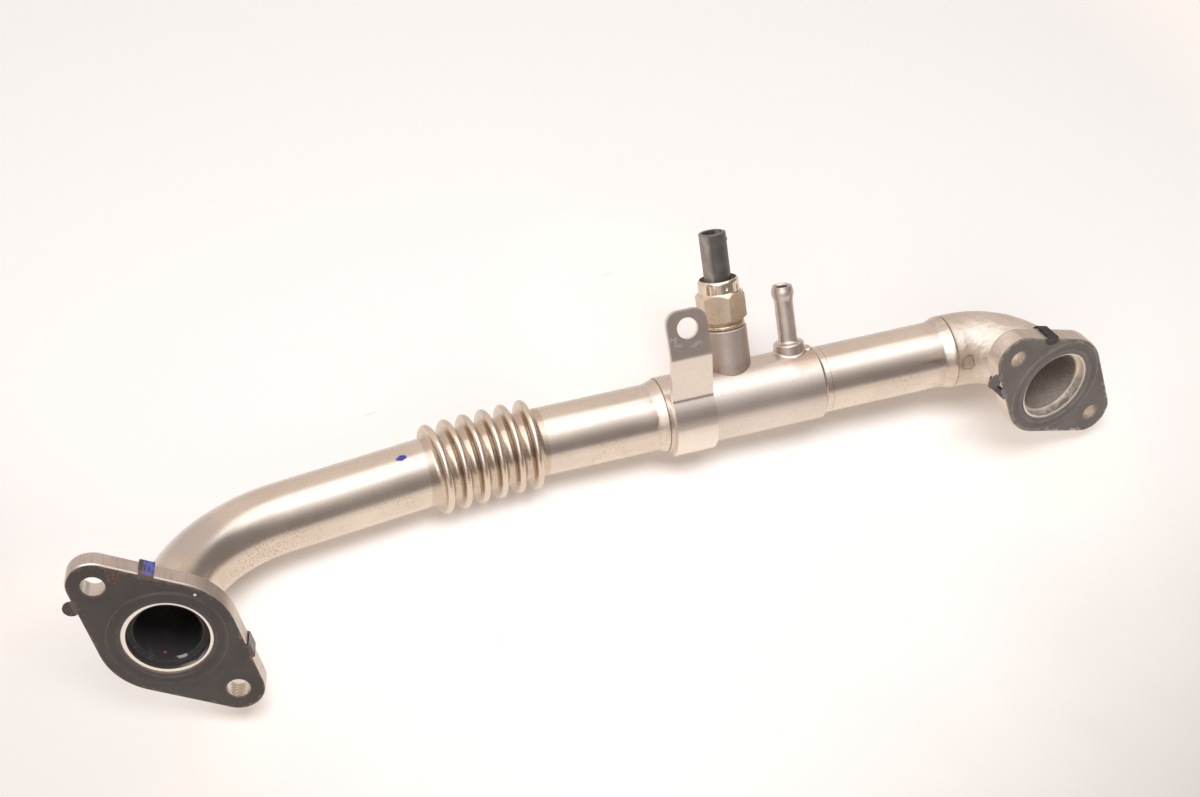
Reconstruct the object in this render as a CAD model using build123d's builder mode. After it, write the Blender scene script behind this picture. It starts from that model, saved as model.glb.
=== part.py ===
from build123d import *
from math import acos, cos, degrees, radians, sin, sqrt, tan
import os

os.makedirs("parts", exist_ok=True)

# Exhaust gas recirculation pipe: a bent steel tube with a bellows, a sensor housing and a cast
# elbow. It lies as it comes to rest on a bench: +Z is up, and +X runs along the long straight
# run from the inlet to the outlet. The origin is the centre of the inlet flange's joint face.
# All lengths are in millimetres and all angles in degrees.

# Headings of the route, as a yaw about +Z from +X and a pitch above the bench
inlet_face_yaw = -105.0
inlet_face_pitch = 22.9
inlet_run_yaw = 7.35
inlet_run_pitch = -1.3
long_run_yaw = 0.0
long_run_pitch = 2.4
outlet_face_yaw = -79.15
outlet_face_pitch = 18.35

# Tube
tube_diameter = 25.4
tube_wall = 1.2
inlet_stub = 7.4
inlet_bend_radius = 57.0
inlet_run_length = 55.8

# Bellows, rolled into the tube itself
convolution_count = 6
convolution_pitch = 7.2
crest_diameter = 33.6
crest_width = 2.6
root_land = 0.6
bellows_wall = 0.8
mitre_overlap = 1.0

# Long run, measured from the end of the bellows
middle_tube_length = 47.6
housing_length = 61.8
socket_wall = 1.45
socket_shoulder = 0.8
socket_depth = 5.0
socket_clearance = 0.05
outlet_tube_exposed = 54.3

# Inlet flange, laser cut from plate
inlet_flange_thickness = 6.5
inlet_centre_radius = 23.9
inlet_lobe_radius = 9.2
inlet_bolt_spacing = 64.2
inlet_bolt_hole = 8.2
inlet_hole_line = -42.0
inlet_recess_gap = 1.1
inlet_recess_depth = 4.5
tube_setback = 3.5
plate_edge_chamfer = 0.4

# Cast elbow with its flange
elbow_socket_wall = 1.25
elbow_socket_shoulder = 0.5
elbow_bend_radius = 24.8
elbow_socket_depth = 4.5
elbow_neck = 11.9
outlet_flange_thickness = 7.0
outlet_centre_radius = 21.2
outlet_lobe_radius = 9.1
outlet_bolt_spacing = 58.6
outlet_bolt_hole = 6.6
outlet_hole_line = -48.3
outlet_recess_step = 1.75
outlet_recess_depth = 3.2
neck_fillet = 2.5
casting_edge = 1.2

# Gaskets of coated sheet steel
gasket_sheet = 0.5
gasket_inset = 0.4
inlet_gasket_bore = 30.7
outlet_gasket_bore = 29.4
bead_radius = 18.2
bead_width = 3.2
bead_height = 0.6
nub_radius = 3.0
nub_along = -30.9
nub_across = -11.9
clip_width = 5.2
clip_gap = 0.3
clip_bend = 0.45
clip_fold = 90.0
clip_hook = 55.0
clip_tip = 1.6
inlet_upper_clip_place = 22.6
inlet_lower_clip_place = 23.6
outlet_clip_place = 21.0

# Braze and weld rings
braze_leg = 1.8
outer_braze_leg = 0.5
nipple_braze_leg = 1.0
braze_hollow = 0.36
elbow_weld_width = 4.9
elbow_weld_rise = 1.2
elbow_weld_crown = 0.6
elbow_weld_fall = 0.3
inlet_weld_fall = 0.5

# Sensor, nipple and bracket, placed along the housing from its inlet end
fitting_clock = -42.6
sensor_place = 29.3
boss_diameter = 17.0
boss_height = 14.5
saddle_clearance = 0.05
boss_chamfer = 0.4
probe_hole = 8.0
thread_diameter = 10.0
washer_diameter = 16.0
washer_thickness = 1.9
washer_clearance = 0.1
washer_round = 0.8
shoulder_diameter = 15.8
shoulder_height = 0.8
hexagon_flats = 16.2
hexagon_height = 11.3
hexagon_turn = 32.0
hexagon_chamfer = 1.7
hexagon_foot_chamfer = 1.1
collar_diameter = 15.3
collar_height = 4.8
collar_wall = 0.8
collar_cavity_depth = 6.0
collar_rim_fillet = 1.3
stake_count = 3
stake_turn = -86.0
stake_height = 1.8
stake_radius = 0.8
stake_depth = 0.4
probe_diameter = 6.0
probe_wall = 0.8
probe_reach = 9.0
probe_seat_height = 3.0
shank_length = 15.0
connector_diameter = 10.1
connector_height = 17.4
connector_flat = 4.5
connector_flange = 2.0
connector_socket_depth = 12.0
connector_shell = 1.25
lug_reach = 0.6
lug_width = 1.3
lug_height = 1.1
connector_turn = 20.0
connector_rim_fillet = 0.4
lug_from_top = 3.0
lug_turn = 10.0
moulding_clearance = 0.1
seal_section = 1.0
terminal_spacing = 2.6
terminal_width = 1.5
terminal_thickness = 0.64
terminal_height = 8.0
terminal_tail = 12.0
terminal_clearance = 0.03
terminal_chamfer = 0.2
thermistor_diameter = 3.2
thermistor_length = 4.0
thermistor_gap = 1.0
lead_diameter = 0.5

nipple_from_end = 8.0
nipple_boss_diameter = 11.7
nipple_boss_height = 3.2
nipple_boss_round = 0.9
nipple_diameter = 7.1
nipple_bore = 5.0
nipple_length = 22.0
nipple_bead_diameter = 8.4
nipple_rim_diameter = 7.3
nipple_bead_top = 2.0
nipple_bead_foot = 3.3
nipple_bead_run = 5.6
nipple_bead_round = 3.0
nipple_seat = 2.8
nipple_flare = 0.5

bracket_place = 9.8
bracket_sheet = 2.0
bracket_width = 15.8
bracket_gap = 0.05
bracket_wrap_start = 124.4
bracket_wrap_end = 20.4
bracket_out_bend = 44.0
bracket_shelf = 16.4
bracket_back_bend = -20.0
bracket_tab = 17.4
bracket_bend_radius = 3.0
bracket_hole = 8.0
bracket_hole_from_bend = 10.4
bracket_corner = 4.9
bracket_foot_corner = 2.5


def heading(yaw, pitch):
    """A unit vector from its yaw about +Z and its pitch above the bench."""
    level = cos(radians(pitch))
    return Vector(level * cos(radians(yaw)), level * sin(radians(yaw)), sin(radians(pitch)))


def turn_between(first, second):
    """The angle between two unit vectors, in radians."""
    return acos(max(-1.0, min(1.0, first.dot(second))))


def facing_plane(centre, outward, hole_line):
    """The plane of a flange face: +Z out of the face, +X along the line of its bolt holes."""
    level = Vector(0, 0, 1).cross(outward).normalized()
    rising = outward.cross(level)
    across = level * cos(radians(hole_line)) + rising * sin(radians(hole_line))
    return Plane(origin=centre, x_dir=across, z_dir=outward)


# Route of the tube's centre line
inlet_out = heading(inlet_face_yaw, inlet_face_pitch)
inlet_run = heading(inlet_run_yaw, inlet_run_pitch)
long_run = heading(long_run_yaw, long_run_pitch)
outlet_out = heading(outlet_face_yaw, outlet_face_pitch)

tube_radius = tube_diameter / 2
housing_radius = tube_radius + socket_clearance + socket_wall
housing_bore = tube_diameter - 2 * socket_shoulder
inlet_recess_radius = tube_radius + inlet_recess_gap
elbow_radius = tube_radius + socket_clearance + elbow_socket_wall
elbow_bore_radius = tube_radius - elbow_socket_shoulder
outlet_recess_radius = elbow_bore_radius + outlet_recess_step
nipple_place = housing_length - nipple_from_end
inlet_centre = Vector(0, 0, 0)
inlet_tangent = inlet_bend_radius * tan(turn_between(inlet_out * -1, inlet_run) / 2)
inlet_corner = inlet_centre - inlet_out * (inlet_stub + inlet_tangent)
bellows_start = inlet_corner + inlet_run * (inlet_tangent + inlet_run_length)

# The bellows flexes by equal small turns, one at each root between two convolutions
flex_axis = inlet_run.cross(long_run).normalized()
flex_step = degrees(turn_between(inlet_run, long_run)) / (convolution_count + 1)
convolution_headings = [
    inlet_run.rotate(Axis((0, 0, 0), flex_axis), flex_step * (step + 1))
    for step in range(convolution_count)
]
root_points = [bellows_start]
for direction in convolution_headings:
    root_points.append(root_points[-1] + direction * convolution_pitch)
bellows_end = root_points[-1]

housing_start = bellows_end + long_run * middle_tube_length
housing_end = housing_start + long_run * housing_length
elbow_start = housing_end + long_run * outlet_tube_exposed
elbow_turn = turn_between(long_run, outlet_out)
elbow_tangent = elbow_bend_radius * tan(elbow_turn / 2)
elbow_corner = elbow_start + long_run * (elbow_socket_depth + elbow_tangent)
outlet_centre = elbow_corner + outlet_out * (elbow_tangent + elbow_neck)

inlet_face = facing_plane(inlet_centre, inlet_out, inlet_hole_line)
outlet_face = facing_plane(outlet_centre, outlet_out, outlet_hole_line)


def run_plane(along):
    """The plane across the long run: +X up the side away from the bench, clock angles from it."""
    up = Vector(0, 0, 1) - long_run * long_run.Z
    return Plane(origin=housing_start + long_run * along, x_dir=up, z_dir=long_run)


def fitting_plane(along, clock, height):
    """A plane across a fitting that stands radially on the housing, at a height over its axis."""
    across = run_plane(along)
    outward = across.x_dir * cos(radians(clock)) + across.y_dir * sin(radians(clock))
    return Plane(origin=across.origin + outward * height, x_dir=long_run, z_dir=outward)


def fitting_axis(along):
    """The axis of a fitting that stands on the housing."""
    base = fitting_plane(along, fitting_clock, 0)
    return Axis(base.origin, base.z_dir)


def section_plane(along, clock, height):
    """A plane that holds a fitting's axis: +X radial, +Y along the fitting's axis."""
    base = fitting_plane(along, clock, height)
    return Plane(origin=base.origin, x_dir=base.x_dir, z_dir=base.x_dir.cross(base.z_dir))


def lengthwise_plane(along):
    """A plane that holds the long run's axis: +X along the run, +Y up from it."""
    base = run_plane(along)
    return Plane(origin=base.origin, x_dir=base.z_dir, z_dir=base.z_dir.cross(base.x_dir))


fitting_out = fitting_plane(0, fitting_clock, 0).z_dir


def draw_flange(centre_radius, lobe_radius, spacing, hole):
    """Two lobes and a round centre joined by straight tangents, with a bolt hole in each lobe."""
    Circle(centre_radius)
    with Locations((-spacing / 2, 0), (spacing / 2, 0)):
        Circle(lobe_radius)
    make_hull()
    with Locations((-spacing / 2, 0), (spacing / 2, 0)):
        Circle(hole / 2, mode=Mode.SUBTRACT)


def convolution(start, direction, before, after):
    """One rolled wave of the bellows, mitred to the tube on each side of it."""
    middle = start + direction * (convolution_pitch / 2)
    tip = crest_width / 2
    crest = crest_diameter / 2
    reach = (convolution_pitch - root_land) / 2
    root = reach - tip
    with BuildPart() as wave:
        with BuildSketch(Plane(origin=middle, x_dir=direction, z_dir=direction.cross(flex_axis))):
            with BuildLine():
                Line((0, crest - bellows_wall), (0, crest))
                CenterArc((0, crest - tip), tip, 0, 90)
                Line((tip, crest - tip), (tip, tube_radius + root))
                CenterArc((reach, tube_radius + root), root, 180, 90)
                Line((reach, tube_radius), (reach + mitre_overlap, tube_radius))
                Line((reach + mitre_overlap, tube_radius), (reach + mitre_overlap, tube_radius - bellows_wall))
                Line((reach + mitre_overlap, tube_radius - bellows_wall), (reach, tube_radius - bellows_wall))
                CenterArc((reach, tube_radius + root), root + bellows_wall, 180, 90)
                Line(
                    (tip - bellows_wall, tube_radius + root),
                    (tip - bellows_wall, crest - tip),
                )
                CenterArc((0, crest - tip), tip - bellows_wall, 0, 90)
            make_face()
            mirror(about=Plane.YZ)
        revolve(axis=Axis(middle, direction))
        first_mitre = Plane(origin=start, z_dir=(before + direction).normalized())
        last_mitre = Plane(
            origin=start + direction * convolution_pitch, z_dir=(direction + after).normalized()
        )
        split(bisect_by=first_mitre, keep=Keep.TOP)
        split(bisect_by=last_mitre, keep=Keep.BOTTOM)
    return wave.part


# Inlet tube: bend, bellows and middle tube in one length of tube
headings = [inlet_run] + convolution_headings + [long_run]
waves = [
    convolution(root_points[step], headings[step + 1], headings[step], headings[step + 2])
    for step in range(convolution_count)
]
inlet_tube_start = inlet_centre - inlet_out * tube_setback
with BuildPart() as inlet_bend:
    with BuildLine():
        FilletPolyline(
            bellows_start + inlet_run * mitre_overlap,
            inlet_corner,
            inlet_tube_start,
            radius=inlet_bend_radius,
        )
    with BuildSketch(
        Plane(origin=bellows_start + inlet_run * mitre_overlap, x_dir=flex_axis, z_dir=inlet_run * -1)
    ):
        Circle(tube_radius)
        Circle(tube_radius - tube_wall, mode=Mode.SUBTRACT)
    sweep()
    first_root = Plane(origin=bellows_start, z_dir=(inlet_run + convolution_headings[0]).normalized())
    split(bisect_by=first_root, keep=Keep.BOTTOM)

with BuildPart() as middle_tube:
    with BuildSketch(
        Plane(origin=bellows_end - long_run * mitre_overlap, x_dir=flex_axis, z_dir=long_run)
    ):
        Circle(tube_radius)
        Circle(tube_radius - tube_wall, mode=Mode.SUBTRACT)
    extrude(amount=mitre_overlap + middle_tube_length + socket_depth)
    last_root = Plane(origin=bellows_end, z_dir=(convolution_headings[-1] + long_run).normalized())
    split(bisect_by=last_root, keep=Keep.TOP)

with BuildPart() as inlet_tube:
    add(inlet_bend.part)
    add(waves)
    add(middle_tube.part)
inlet_tube.part.label = "inlet_tube"
export_step(inlet_tube.part, "parts/inlet_tube.step")

# Inlet flange: plate with two bolt holes, the tube's hole and a recess for the weld
with BuildPart() as inlet_flange:
    with BuildSketch(inlet_face):
        draw_flange(inlet_centre_radius, inlet_lobe_radius, inlet_bolt_spacing, inlet_bolt_hole)
        Circle(tube_radius + socket_clearance, mode=Mode.SUBTRACT)
    extrude(amount=-inlet_flange_thickness)
    plate_faces = inlet_flange.faces().sort_by(Axis(inlet_centre, inlet_out))
    chamfer(plate_faces[-1].outer_wire().edges() + plate_faces[0].outer_wire().edges(), plate_edge_chamfer)
    with BuildSketch(inlet_face):
        Circle(inlet_recess_radius)
    extrude(amount=-inlet_recess_depth, mode=Mode.SUBTRACT)
inlet_flange.part.label = "inlet_flange"
export_step(inlet_flange.part, "parts/inlet_flange.step")

# Inlet weld: the bead in the recess that joins the tube's end to the flange
with BuildPart() as inlet_weld:
    with BuildSketch(Plane(origin=inlet_centre, x_dir=inlet_face.x_dir, z_dir=inlet_face.y_dir * -1)):
        with BuildLine():
            Polyline(
                (tube_radius + socket_clearance, -inlet_recess_depth + socket_clearance),
                (inlet_recess_radius - socket_clearance, -inlet_recess_depth + socket_clearance),
                (inlet_recess_radius - socket_clearance, -tube_setback + inlet_weld_fall),
                (tube_radius + socket_clearance, -tube_setback),
                close=True,
            )
        make_face()
    revolve(axis=Axis(inlet_centre, inlet_out))
inlet_weld.part.label = "inlet_weld"
export_step(inlet_weld.part, "parts/inlet_weld.step")


def braze_fillet(centre, away, inner_radius, leg):
    """A small fillet ring of braze in the corner between a tube and the face it leaves."""
    side = away.cross(Vector(0, 0, 1)).normalized()
    radial = side.cross(away)
    low = inner_radius + socket_clearance
    with BuildPart() as ring:
        with BuildSketch(Plane(origin=centre, x_dir=radial, z_dir=radial.cross(away))):
            with BuildLine():
                Line((low, socket_clearance), (low + leg, socket_clearance))
                ThreePointArc(
                    (low + leg, socket_clearance),
                    (low + leg * braze_hollow, socket_clearance + leg * braze_hollow),
                    (low, socket_clearance + leg),
                )
                Line((low, socket_clearance + leg), (low, socket_clearance))
            make_face()
        revolve(axis=Axis(centre, away))
    return ring.part


inlet_back = inlet_centre - inlet_out * inlet_flange_thickness
inlet_braze = braze_fillet(inlet_back, inlet_out * -1, tube_radius, braze_leg)
inlet_braze.label = "inlet_braze"
export_step(inlet_braze, "parts/inlet_braze.step")

housing_braze_inlet = braze_fillet(housing_start, long_run * -1, tube_radius, braze_leg)
housing_braze_inlet.label = "housing_braze_inlet"
export_step(housing_braze_inlet, "parts/housing_braze_inlet.step")

housing_braze_outlet = braze_fillet(housing_end, long_run, tube_radius, outer_braze_leg)
housing_braze_outlet.label = "housing_braze_outlet"
export_step(housing_braze_outlet, "parts/housing_braze_outlet.step")

# Sensor housing: a turned sleeve with a socket for the tube at each end
with BuildPart() as sensor_housing:
    with BuildSketch(run_plane(0)):
        Circle(housing_radius)
        Circle(housing_bore / 2, mode=Mode.SUBTRACT)
    extrude(amount=housing_length)
    with BuildSketch(run_plane(0), run_plane(housing_length - socket_depth)):
        Circle(tube_radius + socket_clearance)
    extrude(amount=socket_depth, mode=Mode.SUBTRACT)
    with BuildSketch(fitting_plane(sensor_place, fitting_clock, 0)):
        Circle(probe_hole / 2)
    extrude(amount=2 * housing_radius, mode=Mode.SUBTRACT)
    with BuildSketch(fitting_plane(nipple_place, fitting_clock, 0)):
        Circle(nipple_bore / 2)
    extrude(amount=2 * housing_radius, mode=Mode.SUBTRACT)
sensor_housing.part.label = "sensor_housing"
export_step(sensor_housing.part, "parts/sensor_housing.step")

# Outlet tube
with BuildPart() as outlet_tube:
    with BuildSketch(run_plane(housing_length - socket_depth)):
        Circle(tube_radius)
        Circle(tube_radius - tube_wall, mode=Mode.SUBTRACT)
    extrude(amount=socket_depth + outlet_tube_exposed + elbow_socket_depth)
outlet_tube.part.label = "outlet_tube"
export_step(outlet_tube.part, "parts/outlet_tube.step")

# Elbow weld: the rounded bead over the tube where it enters the cast elbow
elbow_mouth = housing_length + outlet_tube_exposed
weld_low = tube_radius + socket_clearance
weld_high = weld_low + elbow_weld_rise
with BuildPart() as elbow_weld:
    with BuildSketch(lengthwise_plane(elbow_mouth)):
        with BuildLine():
            Line((0, weld_low), (0, weld_high))
            ThreePointArc(
                (0, weld_high),
                (-elbow_weld_width * elbow_weld_crown, weld_high - elbow_weld_fall),
                (-elbow_weld_width, weld_low),
            )
            Line((-elbow_weld_width, weld_low), (0, weld_low))
        make_face()
    revolve(axis=Axis(elbow_start, long_run))
elbow_weld.part.label = "elbow_weld"
export_step(elbow_weld.part, "parts/elbow_weld.step")

# Cast elbow: the bend, its flange and the neck between them are one casting
with BuildPart() as outlet_elbow:
    with BuildLine():
        FilletPolyline(elbow_start, elbow_corner, outlet_centre, radius=elbow_bend_radius)
    with BuildSketch(Plane(origin=elbow_start, z_dir=long_run)):
        Circle(elbow_radius)
    sweep()
    with BuildSketch(outlet_face):
        draw_flange(outlet_centre_radius, outlet_lobe_radius, outlet_bolt_spacing, outlet_bolt_hole)
    extrude(amount=-outlet_flange_thickness)
    flange_back = outlet_centre - outlet_out * outlet_flange_thickness
    back_face = outlet_elbow.faces().filter_by(
        lambda face: face.geom_type == GeomType.PLANE
        and abs((face.center() - flange_back).dot(outlet_out)) < 0.01
    )[0]
    neck_wire = back_face.inner_wires().sort_by(SortBy.LENGTH)[-1]
    fillet(neck_wire.edges(), neck_fillet)
    fillet(back_face.outer_wire().edges(), casting_edge)
    with BuildLine():
        FilletPolyline(
            elbow_start,
            elbow_corner,
            outlet_centre + outlet_out * mitre_overlap,
            radius=elbow_bend_radius,
        )
    with BuildSketch(Plane(origin=elbow_start, z_dir=long_run)):
        Circle(elbow_bore_radius)
    sweep(mode=Mode.SUBTRACT)
    with BuildSketch(Plane(origin=elbow_start, z_dir=long_run)):
        Circle(tube_radius + socket_clearance)
    extrude(amount=elbow_socket_depth, mode=Mode.SUBTRACT)
    with BuildSketch(outlet_face):
        Circle(outlet_recess_radius)
    extrude(amount=-outlet_recess_depth, mode=Mode.SUBTRACT)
outlet_elbow.part.label = "outlet_elbow"
export_step(outlet_elbow.part, "parts/outlet_elbow.step")


def clip_path(edge_plane, flange_thickness):
    """The folded clip of a gasket, from the sheet over the flange's edge and round its back."""
    out = gasket_inset + clip_gap + gasket_sheet / 2
    with BuildLine(edge_plane) as path:
        start = (-clip_tip, gasket_sheet / 2)
        over = Line(start, (out - clip_bend, gasket_sheet / 2))
        fold = JernArc(start=over @ 1, tangent=over % 1, radius=clip_bend, arc_size=-clip_fold)
        depth = flange_thickness + gasket_sheet / 2 - clip_bend
        back = PolarLine(start=fold @ 1, length=depth, direction=fold % 1)
        hook = JernArc(start=back @ 1, tangent=back % 1, radius=clip_bend, arc_size=-clip_hook)
        PolarLine(start=hook @ 1, length=clip_tip, direction=hook % 1)
    return path.line


def gasket(face, centre_radius, lobe_radius, spacing, hole, bore, flange_thickness, clip_places):
    """A sheet gasket: flange outline, locating nub, pressed bead and folded clips."""
    slope = (centre_radius - lobe_radius) / (spacing / 2)
    edge_angle = degrees(acos(slope))
    with BuildPart() as seal:
        with BuildSketch(face):
            draw_flange(centre_radius, lobe_radius, spacing, hole)
            with Locations((nub_along, nub_across)):
                Circle(nub_radius)
            Circle(bore / 2, mode=Mode.SUBTRACT)
        extrude(amount=gasket_sheet)
        with BuildSketch(Plane(origin=face.origin, x_dir=face.x_dir, z_dir=face.y_dir * -1)):
            with BuildLine():
                Line((bead_radius - bead_width / 2, gasket_sheet), (bead_radius + bead_width / 2, gasket_sheet))
                ThreePointArc(
                    (bead_radius + bead_width / 2, gasket_sheet),
                    (bead_radius, gasket_sheet + bead_height),
                    (bead_radius - bead_width / 2, gasket_sheet),
                )
            make_face()
        revolve(axis=Axis(face.origin, face.z_dir))
        with BuildSketch(Plane(origin=face.origin, x_dir=face.x_dir, z_dir=face.y_dir * -1)):
            with BuildLine():
                Line((bead_radius - bead_width / 2, 0), (bead_radius + bead_width / 2, 0))
                ThreePointArc(
                    (bead_radius + bead_width / 2, 0),
                    (bead_radius, bead_height),
                    (bead_radius - bead_width / 2, 0),
                )
            make_face()
        revolve(axis=Axis(face.origin, face.z_dir), mode=Mode.SUBTRACT)
        for along, across in clip_places:
            angle = radians(edge_angle if along > 0 else 180 - edge_angle) * across
            out = face.x_dir * cos(angle) + face.y_dir * sin(angle)
            edge_height = (centre_radius - cos(angle) * along) / sin(angle)
            foot = face.origin + face.x_dir * along + face.y_dir * edge_height
            edge_plane = Plane(origin=foot, x_dir=out, z_dir=out.cross(face.z_dir))
            path = clip_path(edge_plane, flange_thickness)
            with BuildSketch(Plane(origin=path @ 0, x_dir=edge_plane.z_dir, z_dir=path % 0)):
                Rectangle(clip_width, gasket_sheet)
            sweep(path=path)
    return seal.part


inlet_gasket = gasket(
    inlet_face,
    inlet_centre_radius - gasket_inset,
    inlet_lobe_radius - gasket_inset,
    inlet_bolt_spacing,
    inlet_bolt_hole,
    inlet_gasket_bore,
    inlet_flange_thickness,
    ((-inlet_upper_clip_place, 1), (inlet_lower_clip_place, 1)),
)
inlet_gasket.label = "inlet_gasket"
export_step(inlet_gasket, "parts/inlet_gasket.step")

outlet_gasket = gasket(
    outlet_face,
    outlet_centre_radius - gasket_inset,
    outlet_lobe_radius - gasket_inset,
    outlet_bolt_spacing,
    outlet_bolt_hole,
    outlet_gasket_bore,
    outlet_flange_thickness,
    ((-outlet_clip_place, 1), (-outlet_clip_place, -1)),
)
outlet_gasket.label = "outlet_gasket"
export_step(outlet_gasket, "parts/outlet_gasket.step")

# Heights of the sensor's parts over the axis of the long run
boss_top = housing_radius + boss_height
washer_top = boss_top + washer_thickness
hexagon_foot = washer_top + shoulder_height
hexagon_top = hexagon_foot + hexagon_height
collar_top = hexagon_top + collar_height
cavity_floor = collar_top - collar_cavity_depth
flange_foot = cavity_floor + seal_section
connector_top = collar_top + connector_height
socket_floor = connector_top - connector_socket_depth
shank_foot = washer_top - shank_length
probe_tip = shank_foot - probe_reach
probe_seat = washer_top + probe_seat_height

# Sensor boss: a turned ring, threaded for the sensor, its foot cut to sit on the housing
with BuildPart() as sensor_boss:
    with BuildSketch(fitting_plane(sensor_place, fitting_clock, 0)):
        Circle(boss_diameter / 2)
        Circle(thread_diameter / 2 + socket_clearance, mode=Mode.SUBTRACT)
    extrude(amount=boss_top)
    boss_faces = sensor_boss.faces().sort_by(Axis(sensor_boss.part.center(), fitting_out))
    chamfer(boss_faces[-1].outer_wire().edges(), boss_chamfer)
    with BuildSketch(run_plane(0)):
        Circle(housing_radius + saddle_clearance)
    extrude(amount=housing_length, mode=Mode.SUBTRACT)
sensor_boss.part.label = "sensor_boss"
export_step(sensor_boss.part, "parts/sensor_boss.step")

# Sealing washer: a crushed ring with a rounded edge
with BuildPart() as sealing_washer:
    with BuildSketch(section_plane(sensor_place, fitting_clock, boss_top)):
        inner = thread_diameter / 2 + washer_clearance
        outer = washer_diameter / 2
        with BuildLine():
            Polyline(
                (outer - washer_round, washer_thickness),
                (inner, washer_thickness),
                (inner, 0),
                (outer - washer_round, 0),
            )
            ThreePointArc(
                (outer - washer_round, 0),
                (outer, washer_thickness / 2),
                (outer - washer_round, washer_thickness),
            )
        make_face()
    revolve(axis=fitting_axis(sensor_place))
sealing_washer.part.label = "sealing_washer"
export_step(sealing_washer.part, "parts/sealing_washer.step")

# Sensor body: turned from hexagon bar, with the threaded shank below and the collar above
hexagon_radius = hexagon_flats / sqrt(3)
with BuildPart() as sensor_body:
    with BuildSketch(fitting_plane(sensor_place, fitting_clock, shank_foot)):
        Circle(thread_diameter / 2)
    extrude(amount=shank_length)
    with BuildSketch(fitting_plane(sensor_place, fitting_clock, washer_top)):
        Circle(shoulder_diameter / 2)
    extrude(amount=shoulder_height)
    with BuildSketch(fitting_plane(sensor_place, fitting_clock, hexagon_foot)):
        RegularPolygon(hexagon_radius, 6, rotation=hexagon_turn)
    extrude(amount=hexagon_height)
    with BuildSketch(section_plane(sensor_place, fitting_clock, hexagon_foot)):
        with BuildLine():
            Polyline(
                (collar_diameter / 2, hexagon_height),
                (2 * hexagon_radius, hexagon_height),
                (2 * hexagon_radius, hexagon_height - hexagon_chamfer),
                (hexagon_radius, hexagon_height - hexagon_chamfer),
                close=True,
            )
        make_face()
        with BuildLine():
            Polyline(
                (shoulder_diameter / 2, 0),
                (2 * hexagon_radius, 0),
                (2 * hexagon_radius, hexagon_foot_chamfer),
                (hexagon_radius, hexagon_foot_chamfer),
                close=True,
            )
        make_face()
    revolve(axis=fitting_axis(sensor_place), mode=Mode.SUBTRACT)
    with BuildSketch(fitting_plane(sensor_place, fitting_clock, hexagon_top)):
        Circle(collar_diameter / 2)
    extrude(amount=collar_height)
    rim = sensor_body.faces().sort_by(Axis(sensor_body.part.center(), fitting_out))[-1]
    fillet(rim.edges(), collar_rim_fillet)
    with BuildSketch(fitting_plane(sensor_place, fitting_clock, cavity_floor)):
        Circle(collar_diameter / 2 - collar_wall)
    extrude(amount=collar_top - cavity_floor, mode=Mode.SUBTRACT)
    with BuildSketch(fitting_plane(sensor_place, fitting_clock, shank_foot)):
        Circle(probe_diameter / 2 + socket_clearance)
    extrude(amount=probe_seat - shank_foot, mode=Mode.SUBTRACT)
    with BuildSketch(fitting_plane(sensor_place, fitting_clock, probe_seat)):
        Circle(probe_diameter / 2 - probe_wall)
    extrude(amount=cavity_floor - probe_seat, mode=Mode.SUBTRACT)
    collar_middle = fitting_plane(sensor_place, fitting_clock, hexagon_top + stake_height)
    for stake in range(stake_count):
        angle = radians(stake_turn + 360 / stake_count * stake)
        outward = collar_middle.x_dir * cos(angle) + collar_middle.y_dir * sin(angle)
        with Locations(collar_middle.origin + outward * (collar_diameter / 2 + stake_radius - stake_depth)):
            Sphere(stake_radius, mode=Mode.SUBTRACT)
sensor_body.part.label = "sensor_body"
export_step(sensor_body.part, "parts/sensor_body.step")

# Sensor probe: a drawn tube with a round closed end, pressed into the body
with BuildPart() as sensor_probe:
    radius = probe_diameter / 2
    bore = radius - probe_wall
    length = probe_seat - probe_tip
    with BuildSketch(section_plane(sensor_place, fitting_clock, probe_tip)):
        with BuildLine():
            CenterArc((0, radius), radius, 270, 90)
            Polyline((radius, radius), (radius, length), (bore, length), (bore, radius))
            CenterArc((0, radius), bore, 270, 90)
            Line((0, probe_wall), (0, 0))
        make_face()
    revolve(axis=fitting_axis(sensor_place))
sensor_probe.part.label = "sensor_probe"
export_step(sensor_probe.part, "parts/sensor_probe.step")

# Connector seal: a flat rubber ring under the connector's foot
with BuildPart() as connector_seal:
    with BuildSketch(fitting_plane(sensor_place, fitting_clock, cavity_floor)):
        Circle(collar_diameter / 2 - collar_wall - moulding_clearance)
        Circle(connector_diameter / 2 - connector_shell, mode=Mode.SUBTRACT)
    extrude(amount=seal_section)
connector_seal.part.label = "connector_seal"
export_step(connector_seal.part, "parts/connector_seal.step")

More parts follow.
